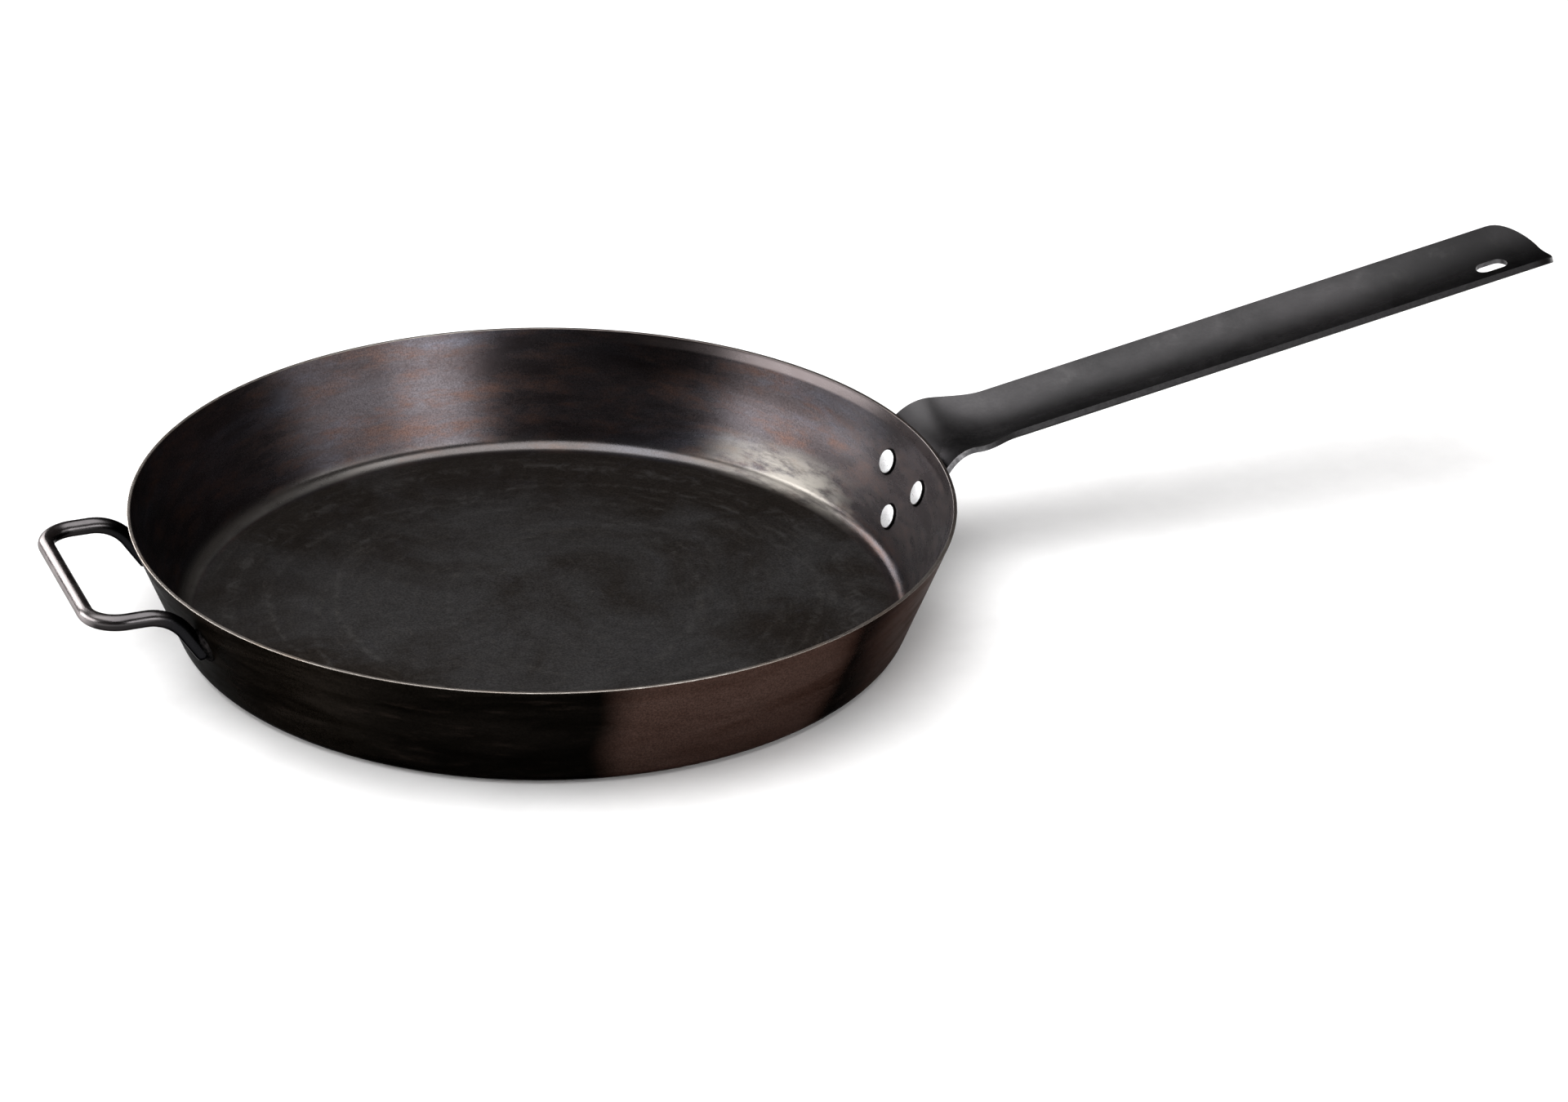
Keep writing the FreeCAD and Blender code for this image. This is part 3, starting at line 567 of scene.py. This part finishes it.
def handle_cut_edge():
    """Blanked edge of the handle, a little brighter than its faces."""
    material, tree, surface = shader("handle_cut_edge", 1.0)
    where = place(tree)
    nicks = grain(tree, where, 260.0, 5.0, 0.7)
    colour = blend(tree, curve(tree, nicks, 0.35, 0.7), (0.046, 0.045, 0.047), (0.095, 0.093, 0.096))
    tree.links.new(colour, surface.inputs["Base Color"])
    tree.links.new(curve(tree, nicks, 0.3, 0.7, 0.40, 0.28), surface.inputs["Roughness"])
    emboss(tree, surface, nicks, 0.4, 0.00006)
    return material


def rivet_bright():
    """Bright driven rivet, the foot of its head painted dark as shade."""
    material, tree, surface = shader("rivet_bright", 0.6)
    where, radius, _, height = polar(tree)
    dents = grain(tree, where, 420.0, 3.0, 0.6)
    haze = grain(tree, where, 1500.0, 3.0, 0.6)
    colour = blend(tree, curve(tree, dents, 0.35, 0.7), (0.90, 0.91, 0.92), (0.98, 0.98, 0.99))
    lean = sums(tree, "MULTIPLY", sums(tree, "SUBTRACT", DEPTH, height), tan(WALL_TILT))
    wall = sums(tree, "SUBTRACT", RIM_RADIUS - SHEET_ACROSS, lean)
    proud = share_of(tree, sums(tree, "SUBTRACT", wall, radius), cos(WALL_TILT))
    # painted shade on the upright edge at the head's foot
    painted_foot_shade = curve(tree, proud, 0.6 * HEAD_EDGE, HEAD_EDGE, 1.0, 0.0)
    colour = blend(tree, painted_foot_shade, colour, (0.008, 0.007, 0.007))
    tree.links.new(colour, surface.inputs["Base Color"])
    tree.links.new(curve(tree, haze, 0.3, 0.7, 0.26, 0.42), surface.inputs["Roughness"])
    emboss(tree, surface, dents, 0.4, 0.00015)
    return material


def bar_steel():
    """Glossy dark bar: the cross bar paler from wear and a painted highlight, its outer side a painted
    reflection, painted shade below, burnt dark at the welds.
    """
    material, tree, surface = shader("bar_steel", 1.0, OXIDE_SHINE)
    where = place(tree)
    parts = add(tree, "ShaderNodeSeparateXYZ", {0: where})
    east, up = parts.outputs["X"], parts.outputs["Z"]
    mottle = grain(tree, where, 120.0, 5.0, 0.65)
    tone = curve(tree, mottle, 0.35, 0.7)
    pits = grain(tree, where, 620.0, 3.0, 0.6)
    reach = sums(tree, "ADD", east, share_of(tree, mottle, 8.0 * MM))
    burnt = curve(tree, reach, -FOOT_REACH - 5.0 * MM, -FOOT_REACH + 7.0 * MM)
    rubbed_and_highlight = curve(tree, reach, -BOW_REACH + 2.0 * MM, -BOW_REACH + 15.0 * MM, 1.0, 0.0)
    outer_side_sheen = curve(tree, east, -BOW_REACH - BAR_RADIUS, -BOW_REACH, 1.0, 0.0)
    inner_side = curve(tree, east, -BOW_REACH - 0.3 * BAR_RADIUS, -BOW_REACH + 0.5 * BAR_RADIUS)
    underside = curve(tree, up, BOW_Z - 0.1 * BAR_RADIUS, BOW_Z + 0.45 * BAR_RADIUS, 1.0, 0.0)

    colour = blend(tree, tone, (0.076, 0.071, 0.073), (0.098, 0.092, 0.094))
    # cross bar: wear and painted highlight, painted brighter still on its outer side as a reflection
    worn = blend(tree, tone, (0.125, 0.114, 0.114), (0.155, 0.143, 0.142))
    worn = blend(tree, 1.0, worn, curve(tree, outer_side_sheen, 0.0, 1.0, 1.0, 2.2), "MULTIPLY")
    colour = blend(tree, rubbed_and_highlight, colour, worn)
    # painted shade under the bar
    underside_shade = share_of(tree, sums(tree, "MULTIPLY", underside, inner_side), 0.9)
    colour = blend(tree, underside_shade, colour, (0.010, 0.009, 0.009))
    colour = blend(tree, curve(tree, pits, 0.66, 0.76, 0.0, 0.5), colour, (0.030, 0.026, 0.025))
    colour = blend(tree, burnt, colour, (0.009, 0.009, 0.010))
    tree.links.new(colour, surface.inputs["Base Color"])
    tree.links.new(curve(tree, mottle, 0.3, 0.7, 0.22, 0.30), surface.inputs["Roughness"])
    emboss(tree, surface, sums(tree, "ADD", mottle, share_of(tree, pits, 0.3)), 0.12, 0.00008)
    return material


def weld_slag():
    """Dark rough weld metal."""
    material, tree, surface = shader("weld_slag", 1.0, SOOT_SHINE)
    where = place(tree)
    lumps = grain(tree, where, 480.0, 5.0, 0.7)
    colour = blend(tree, curve(tree, lumps, 0.35, 0.7), (0.004, 0.004, 0.004), (0.018, 0.016, 0.016))
    tree.links.new(colour, surface.inputs["Base Color"])
    tree.links.new(curve(tree, lumps, 0.3, 0.7, 0.62, 0.38), surface.inputs["Roughness"])
    emboss(tree, surface, lumps, 0.6, 0.0003)
    return material


# --------------------------------------------------------------------- pan shell
AROUND = 384            # steps round the pan
RIM, OUTSIDE, INSIDE = 0, 1, 2


def build_pan():
    """Turned shell with rounded rim, one closed surface."""
    outer_corner = (wall_radius(0.0), 0.0)
    outer_rim = (RIM_RADIUS, DEPTH)
    inner_rim = (RIM_RADIUS - SHEET_ACROSS, DEPTH)
    inner_corner = (wall_radius(SHEET) - SHEET_ACROSS, SHEET)
    corners = [(0.0, 0.0), outer_corner, outer_rim, inner_rim, inner_corner, (0.0, SHEET)]
    radii = [0.0, BASE_BEND, RIM_ROUND, RIM_ROUND, BASE_BEND - SHEET, 0.0]
    outline = divided(rounded(corners, radii, 10), 4.0 * MM)
    points, faces = turned(outline, AROUND)
    top = DEPTH - 0.8 * RIM_ROUND
    kinds = []
    middle = SHEET_ACROSS / 2
    for face in faces:
        spots = [points[i] for i in face]
        height = sum(p[2] for p in spots) / len(spots)
        radius = sum(hypot(p[0], p[1]) for p in spots) / len(spots)
        if height > top:
            kinds.append(RIM)
        elif radius > wall_radius(height) - middle or height < SHEET / 2:
            kinds.append(OUTSIDE)
        else:
            kinds.append(INSIDE)
    pan = new_piece("pan_body", points, faces,
                    [rim_steel(), pan_outside_steel(), pan_inside_steel()], kinds)
    face_outwards(pan)
    seat(pan, "pan_shell")
    return pan


# ------------------------------------------------------------------- long handle
BEND_Z = DEPTH - CREST_DROP - NECK_BEND * cos(NECK_FALL)
BEND_X = wall_radius(BEND_Z) + NECK_BEND / cos(WALL_TILT)
KNEE_X = BEND_X + (NECK_BEND + KNEE_BEND) * sin(NECK_FALL)
KNEE_Z = BEND_Z + (NECK_BEND + KNEE_BEND) * cos(NECK_FALL)
GRIP_X = KNEE_X + KNEE_BEND * sin(GRIP_RISE)
GRIP_Z = KNEE_Z - KNEE_BEND * cos(GRIP_RISE)
WALL_RISE = pi / 2 - WALL_TILT
ACROSS = 40                             # steps across the handle
PATCH_START = SLOT_REACH - 16.0 * MM    # where the sheet begins to flow round the slot


def smooth(share):
    """Eased share: starts and ends level."""
    return share * share * (3 - 2 * share)


def mix(first, second, share):
    """Value between two others."""
    return first + (second - first) * share


def trough_radius(half, hollow):
    """Radius of the arc that spans a width and dips by a depth."""
    return (half * half + hollow * hollow) / (2 * hollow)


def sheet_point(valley, slope, bend, side):
    """Point of the hollow face, `side` off the middle plane."""
    rise = bend - sqrt(bend * bend - side * side)
    x = valley[0] - rise * sin(slope)
    z = valley[1] + rise * cos(slope)
    return Vector((x, side, z))


def plate_half_at(height):
    """Half width of the riveted plate: round nose, tapered flanks, straight sides."""
    nose = PLATE_BOTTOM + PLATE_NOSE
    flank = nose - PLATE_NOSE * cos(PLATE_TAPER)
    if height < flank:
        return sqrt(max(0.0, PLATE_NOSE ** 2 - (nose - height) ** 2))
    return min(PLATE_HALF, PLATE_NOSE * sin(PLATE_TAPER) + (height - flank) / tan(PLATE_TAPER))


def plate_rows():
    """Rows up the outside of the wall to where the bend starts."""
    bend = trough_radius(PLATE_HALF, PLATE_TROUGH)
    top = BEND_Z + NECK_BEND * cos(WALL_RISE)
    shoulder = PLATE_BOTTOM + PLATE_NOSE * (1 - cos(PLATE_TAPER))
    shoulder += (PLATE_HALF - PLATE_NOSE * sin(PLATE_TAPER)) * tan(PLATE_TAPER)
    nose_steps, flank_steps, side_steps = 8, 10, 6
    heights = [PLATE_BOTTOM + PLATE_NOSE * (1 - cos(PLATE_TAPER * k / nose_steps))
               for k in range(1, nose_steps)]
    heights += [mix(heights[-1], shoulder, k / flank_steps) for k in range(1, flank_steps + 1)]
    heights += [mix(shoulder, top, k / side_steps) for k in range(1, side_steps)]
    return [((wall_radius(z), z), WALL_RISE, bend, plate_half_at(z)) for z in heights]


def bend_rows(steps=22):
    """Rows over the rim."""
    rows = []
    for k in range(steps + 1):
        share = k / steps
        slope = mix(WALL_RISE, -NECK_FALL, share)
        valley = (BEND_X - NECK_BEND * sin(slope), BEND_Z + NECK_BEND * cos(slope))
        half = mix(PLATE_HALF, CREST_HALF, smooth(share))
        hollow = mix(PLATE_TROUGH, CREST_TROUGH, smooth(share))
        rows.append((valley, slope, trough_radius(half, hollow), half))
    return rows


def knee_rows(steps=20, narrow_by=0.8):
    """Rows of the neck, from behind the rim to the straight grip."""
    rows = []
    for k in range(1, steps + 1):
        share = k / steps
        slope = mix(-NECK_FALL, GRIP_RISE, share)
        valley = (KNEE_X + KNEE_BEND * sin(slope), KNEE_Z - KNEE_BEND * cos(slope))
        half = mix(CREST_HALF, GRIP_HALF, smooth(min(1.0, share / narrow_by)))
        hollow = mix(CREST_TROUGH, GRIP_TROUGH, smooth(share))
        rows.append((valley, slope, trough_radius(half, hollow), half))
    return rows


def grip_row(x):
    """Row of the straight grip whose valley lies at x."""
    share = (x - GRIP_X) / (TIP_REACH - GRIP_X)
    half = mix(GRIP_HALF, TIP_HALF, share)
    valley = (x, GRIP_Z + (x - GRIP_X) * tan(GRIP_RISE))
    return valley, GRIP_RISE, trough_radius(half, GRIP_TROUGH), half


def grip_point(x, side):
    """Point of the grip's hollow face above plan position (x, side)."""
    bend = grip_row(x)[2]
    rise = bend - sqrt(bend * bend - side * side)
    valley, slope, bend, _ = grip_row(x + rise * sin(GRIP_RISE))
    return sheet_point(valley, slope, bend, side)


def patch_outline():
    """Plan outline of the grip's end, anticlockwise from the start line's low side."""
    half = grip_row(PATCH_START)[3]
    corner_x = TIP_REACH - TIP_CORNER
    corner_y = TIP_HALF - TIP_CORNER
    steps = 12
    end_steps = 5
    outline = []
    for k in range(1, steps + 1):
        x = mix(PATCH_START, corner_x, k / steps)
        outline.append((x, -mix(half, TIP_HALF, k / steps)))
    for k in range(1, steps + 1):
        angle = pi / 2 * (k / steps - 1)
        outline.append((corner_x + TIP_CORNER * cos(angle), -corner_y + TIP_CORNER * sin(angle)))
    for k in range(1, end_steps + 1):
        outline.append((TIP_REACH, mix(-corner_y, corner_y, k / end_steps)))
    for k in range(1, steps + 1):
        angle = pi / 2 * k / steps
        outline.append((corner_x + TIP_CORNER * cos(angle), corner_y + TIP_CORNER * sin(angle)))
    for k in range(1, steps):
        x = mix(corner_x, PATCH_START, k / steps)
        outline.append((x, mix(TIP_HALF, half, k / steps)))
    return outline


def slot_point(x, side):
    """Where the line from the slot's centre to a plan point crosses the slot's edge."""
    radius = SLOT_WIDTH / 2
    reach = SLOT_LENGTH / 2 - radius
    dx, dy = x - SLOT_REACH, side
    if abs(dy) * reach >= radius * abs(dx):
        scale = radius / abs(dy)
        return SLOT_REACH + dx * scale, dy * scale
    length = hypot(dx, dy)
    ux, uy = dx / length, dy / length
    along = reach * abs(ux) + sqrt(max(0.0, radius ** 2 - (reach * uy) ** 2))
    return SLOT_REACH + ux * along, uy * along


def build_handle_sheet(grip_steps=40, slot_rings=10):
    """Hollow face of the handle as one open quad sheet with the slot left out."""
    rows = plate_rows() + bend_rows() + knee_rows()
    rows += [grip_row(mix(GRIP_X, PATCH_START, k / grip_steps)) for k in range(1, grip_steps)]
    points = []
    faces = []
    for valley, slope, bend, half in rows:
        for k in range(ACROSS + 1):
            points.append(sheet_point(valley, slope, bend, half * (2 * k / ACROSS - 1)))
    half = grip_row(PATCH_START)[3]
    start_line = [(PATCH_START, half * (2 * k / ACROSS - 1)) for k in range(ACROSS + 1)]
    for x, side in start_line:
        points.append(grip_point(x, side))
    width = ACROSS + 1
    for r in range(len(rows)):
        for k in range(ACROSS):
            a = r * width + k
            faces.append((a, a + 1, a + 1 + width, a + width))
    # rings from the end patch's outline in to the slot
    loop = start_line[::-1] + patch_outline()
    first = len(rows) * width
    ring = [first + ACROSS - k for k in range(ACROSS + 1)]
    for x, side in loop[ACROSS + 1:]:
        ring.append(len(points))
        points.append(grip_point(x, side))
    for step in range(1, slot_rings + 1):
        share = step / slot_rings
        inner = []
        for x, side in loop:
            sx, sy = slot_point(x, side)
            inner.append(len(points))
            points.append(grip_point(mix(x, sx, share), mix(side, sy, share)))
        for k in range(len(loop)):
            following = (k + 1) % len(loop)
            faces.append((ring[k], ring[following], inner[following], inner[k]))
        ring = inner
    return points, faces


def build_handle():
    """Handle sheet given its thickness and rounded cut edges."""
    points, faces = build_handle_sheet()
    handle = new_piece("handle_pressing", points, faces, [handle_oxide(), handle_cut_edge()])
    face_outwards(handle)
    if handle.data.polygons[len(handle.data.polygons) // 2].normal.z < 0:
        handle.data.flip_normals()
    thick = handle.modifiers.new("thickness", "SOLIDIFY")
    thick.thickness = GRIP_SHEET
    thick.offset = -1.0
    thick.use_even_offset = False
    thick.material_offset_rim = 1
    soft = handle.modifiers.new("soft_edges", "BEVEL")
    soft.width = EDGE_ROUND
    soft.segments = 3
    soft.limit_method = "ANGLE"
    soft.angle_limit = radians(50)
    soft.harden_normals = True
    seat(handle, "long_handle")
    return handle


# ------------------------------------------------------------------------ rivets
def rivet_outline():
    """Half section of a rivet; its axis is the second coordinate, the head below zero."""
    stack = SHEET + GRIP_SHEET
    corners = [
        (0.0, -HEAD_RISE),
        (RIVET_HEAD / 2, -HEAD_EDGE),
        (RIVET_HEAD / 2, RIVET_BITE),
        (RIVET_SHANK / 2, RIVET_BITE),
        (RIVET_SHANK / 2, stack - RIVET_BITE),
        (TAIL_WIDTH / 2, stack - RIVET_BITE),
        (TAIL_WIDTH / 2, stack + TAIL_EDGE),
        (0.0, stack + TAIL_RISE),
    ]
    radii = [0.0, RIVET_ROUND, 0.0, 0.0, 0.0, 0.0, RIVET_ROUND, 0.0]
    outline = divided(rounded(corners, radii, 5), 0.5 * MM)
    crowned = []
    for p in outline:
        share = p.x / (RIVET_HEAD / 2)
        swell = 0.0
        if p.y < 0:
            swell = HEAD_CROWN * (1 - share ** 2) * min(1.0, 3 * share)
        crowned.append(Vector((p.x, p.y - swell)))
    return crowned


def build_rivet(node, drop, side, material, around=72):
    """Turned rivet with a low head, laid into the wall, with small hammer marks."""
    points, faces = turned(rivet_outline(), around)
    radius = wall_radius(DEPTH - drop) - SHEET_ACROSS
    turn = asin(side / radius)
    spot = Vector((radius * cos(turn), side, DEPTH - drop))
    lay = Matrix.Rotation(turn, 3, "Z") @ Matrix.Rotation(pi / 2 + WALL_TILT, 3, "Y")
    axis = lay @ Vector((0, 0, 1))
    placed = []
    for p in points:
        world = spot + lay @ Vector(p)
        placed.append(world + axis * noise.noise(world * 380.0) * DENT)
    rivet = new_piece(node.replace("rivet", "rivet_head"), placed, faces, [material])
    face_outwards(rivet)
    seat(rivet, node)
    return rivet


# ----------------------------------------------------------------- helper handle
def arc_points(centre, start, end, steps):
    """Points of an arc of less than half a turn, ends left out."""
    first, last = start - centre, end - centre
    axis = first.cross(last).normalized()
    sweep = first.angle(last)
    return [centre + Matrix.Rotation(sweep * k / steps, 3, axis) @ first for k in range(1, steps)]


def line_points(start, end, steps):
    """Evenly spaced points of a straight line, both ends included."""
    return [start.lerp(end, k / steps) for k in range(steps + 1)]


def helper_path():
    """Centre line of the bar from foot to foot."""
    run = FOOT_BEND * tan(FOOT_SLOPE / 2)
    arm_x = -(FOOT_REACH + run)
    corner = Vector((-FOOT_REACH, -BOW_HALF, BOW_Z))
    down = Vector((cos(FOOT_SLOPE), 0.0, -sin(FOOT_SLOPE)))
    low = corner + down * run
    end = corner + down * FOOT_LENGTH
    top = Vector((arm_x, -BOW_HALF, BOW_Z))
    turn_in = Vector((-(BOW_REACH - BOW_CORNER), -BOW_HALF, BOW_Z))
    turn_out = Vector((-BOW_REACH, -(BOW_HALF - BOW_CORNER), BOW_Z))
    half = line_points(end, low, 10)
    half += arc_points(Vector((arm_x, -BOW_HALF, BOW_Z - FOOT_BEND)), low, top, 12)
    half += line_points(top, turn_in, 6)
    half += arc_points(Vector((turn_in.x, turn_out.y, BOW_Z)), turn_in, turn_out, 16)
    half += line_points(turn_out, Vector((-BOW_REACH, 0.0, BOW_Z)), 12)
    other = [Vector((p.x, -p.y, p.z)) for p in reversed(half[:-1])]
    return half + other


def tube(path, radius, around):
    """Closed round tube along a path."""
    points, faces = [], []
    tangent = (path[1] - path[0]).normalized()
    side = tangent.orthogonal().normalized()
    for i, centre in enumerate(path):
        ahead = path[min(i + 1, len(path) - 1)]
        behind = path[max(i - 1, 0)]
        tangent = (ahead - behind).normalized()
        side = (side - tangent * side.dot(tangent)).normalized()
        up = tangent.cross(side)
        for k in range(around):
            angle = 2 * pi * k / around
            points.append(centre + (side * cos(angle) + up * sin(angle)) * radius)
    for i in range(len(path) - 1):
        for k in range(around):
            following = (k + 1) % around
            a, b = i * around, (i + 1) * around
            faces.append((a + k, a + following, b + following, b + k))
    last = (len(path) - 1) * around
    faces.append(tuple(range(around)))
    faces.append(tuple(last + k for k in reversed(range(around))))
    return points, faces


def keep_outside(point, inset):
    """Push a point out to just under the wall's outer face."""
    limit = wall_radius(point.z) - inset
    radius = hypot(point.x, point.y)
    if radius >= limit or point.z > DEPTH:
        return point
    return Vector((point.x * limit / radius, point.y * limit / radius, point.z))


def build_helper(around=40):
    """Round bar, its feet flattened where they meet the wall."""
    points, faces = tube(helper_path(), BAR_RADIUS, around)
    points = [keep_outside(p, FOOT_BITE) for p in points]
    bar = new_piece("helper_bar", points, faces, [bar_steel()])
    face_outwards(bar)
    seat(bar, "helper_handle")
    return bar


def weld_offset(local, side, out, along, across):
    """Point of an uneven bead from the matching point of a unit ball."""
    ripple = 0.05 * sin(local.y * 26.0 + side * 90.0)
    lump = 0.16 * noise.noise(local * 2.6 + Vector((side * 60.0, 0, 0)))
    grow = 0.94 + ripple * max(0.0, local.x) + lump
    return (out * local.x * WELD_RISE * grow
            + along * local.y * WELD_LENGTH / 2 * min(1.0, 0.96 + lump * 0.3)
            + across * local.z * WELD_WIDTH / 2 * min(1.0, grow))


def build_weld(node, side, material, rings=36, around=56):
    """Uneven bead with ripples across the foot."""
    radius = wall_radius(DEPTH - WELD_DROP)
    turn = asin(side / radius)
    spot = Vector((-radius * cos(turn), side, DEPTH - WELD_DROP))
    out = Vector((spot.x, spot.y, 0)).normalized() * cos(WALL_TILT) - Vector((0, 0, sin(WALL_TILT)))
    across = Vector((0, 0, 1)).cross(out).normalized()
    along = out.cross(across)
    points, faces = [], []
    for i in range(rings + 1):
        lift = pi * i / rings
        for k in range(around):
            angle = 2 * pi * k / around
            local = Vector((sin(lift) * cos(angle), cos(lift), sin(lift) * sin(angle)))
            offset = weld_offset(local, side, out, along, across)
            points.append(keep_outside(spot + offset, WELD_BITE))
    for i in range(rings):
        for k in range(around):
            following = (k + 1) % around
            a, b = i * around, (i + 1) * around
            faces.append((a + k, a + following, b + following, b + k))
    weld = new_piece(node.replace("bead", "metal"), points, faces, [material])
    face_outwards(weld)
    seat(weld, node)
    return weld


# -------------------------------------------------------------- stage and camera
VIEW_AZIMUTH = -19.1        # degrees, where the camera stands about the rim's centre
VIEW_ELEVATION = 26.12
VIEW_DISTANCE = 2.1058
VIEW_ROLL = 1.176
LENS = 112.5                # on a 36 mm sensor
AIM = Vector((0.0781, -0.0830, DEPTH))
LIT_SPOT = Vector((0.08, 0, 0.03))      # where the lamps point
LAMPS = [
    # name, bearing, elevation, distance, width and height, radiance
    ("overhead", -130.0, 83.0, 2.0, (2.6, 2.6), 3.6),
    ("left_strip", 185.5, 15.0, 1.8, (1.6, 0.7), 7.0),
    ("back_left", 127.0, 19.0, 2.0, (1.0, 1.0), 9.0),
    ("right_strip", -55.5, 15.0, 1.8, (0.72, 0.7), 6.8),
    ("right_fill", -25.0, 14.0, 1.8, (0.9, 0.6), 2.5),
]


def around_pan(bearing, elevation, distance):
    """Point about the rim's centre; bearing 0 is to the right of the view, 90 behind the pan."""
    turn = radians(bearing + VIEW_AZIMUTH)
    lift = radians(elevation)
    away = Vector((cos(turn) * cos(lift), sin(turn) * cos(lift), sin(lift)))
    return Vector((0, 0, DEPTH)) + away * distance


def softbox(name, bearing, elevation, distance, size, radiance):
    """Rectangular lamp aimed at the pan."""
    data = bpy.data.lights.new(name, "AREA")
    data.shape = "RECTANGLE"
    data.size, data.size_y = size
    data.energy = radiance * pi * size[0] * size[1]
    lamp = bpy.data.objects.new(name, data)
    lamp.location = around_pan(bearing, elevation, distance)
    lamp.rotation_euler = (LIT_SPOT - lamp.location).to_track_quat("-Z", "Y").to_euler()
    bpy.context.scene.collection.objects.link(lamp)
    return lamp


def paper_white():
    """Matt pale floor."""
    material, tree, surface = shader("paper_white", 0.0)
    fibre = grain(tree, place(tree), 40.0, 4.0, 0.6)
    colour = blend(tree, curve(tree, fibre, 0.3, 0.7), (0.90, 0.90, 0.90), (0.93, 0.93, 0.93))
    tree.links.new(colour, surface.inputs["Base Color"])
    surface.inputs["Roughness"].default_value = 0.9
    surface.inputs["Specular IOR Level"].default_value = 0.0
    return material


def build_floor(half=6.0):
    """Large floor; the pan stands on it."""
    corners = [(-half, -half, 0.0), (half, -half, 0.0), (half, half, 0.0), (-half, half, 0.0)]
    floor = new_piece("floor", corners, [(0, 1, 2, 3)], [paper_white()])


def build_camera():
    """Camera at the viewing angle, a little rolled."""
    data = bpy.data.cameras.new("camera")
    data.lens = LENS
    data.sensor_width = 36.0
    data.clip_start, data.clip_end = 0.05, 50.0
    camera = bpy.data.objects.new("camera", data)
    camera.location = around_pan(-90.0, VIEW_ELEVATION, VIEW_DISTANCE)
    look = (AIM - camera.location).to_track_quat("-Z", "Y")
    camera.rotation_mode = "QUATERNION"
    camera.rotation_quaternion = look @ Matrix.Rotation(radians(VIEW_ROLL), 3, "Z").to_quaternion()
    bpy.context.scene.collection.objects.link(camera)
    bpy.context.scene.camera = camera


def build_light():
    """Dim warm surroundings and the softboxes."""
    world = bpy.data.worlds.new("studio")
    world.use_nodes = True
    backing = world.node_tree.nodes["Background"]
    backing.inputs["Color"].default_value = (1.0, 0.82, 0.76, 1.0)
    backing.inputs["Strength"].default_value = 0.06
    bpy.context.scene.world = world
    for lamp in LAMPS:
        softbox(*lamp)
    bpy.context.scene.view_settings.view_transform = "Standard"


build_camera()
build_floor()
build_light()
build_pan()
build_handle()
bright = rivet_bright()
for node, drop, side in RIVETS:
    build_rivet(node, drop, side, bright)
build_helper()
slag = weld_slag()
build_weld("weld_bead_left", -BOW_HALF, slag)
build_weld("weld_bead_right", BOW_HALF, slag)
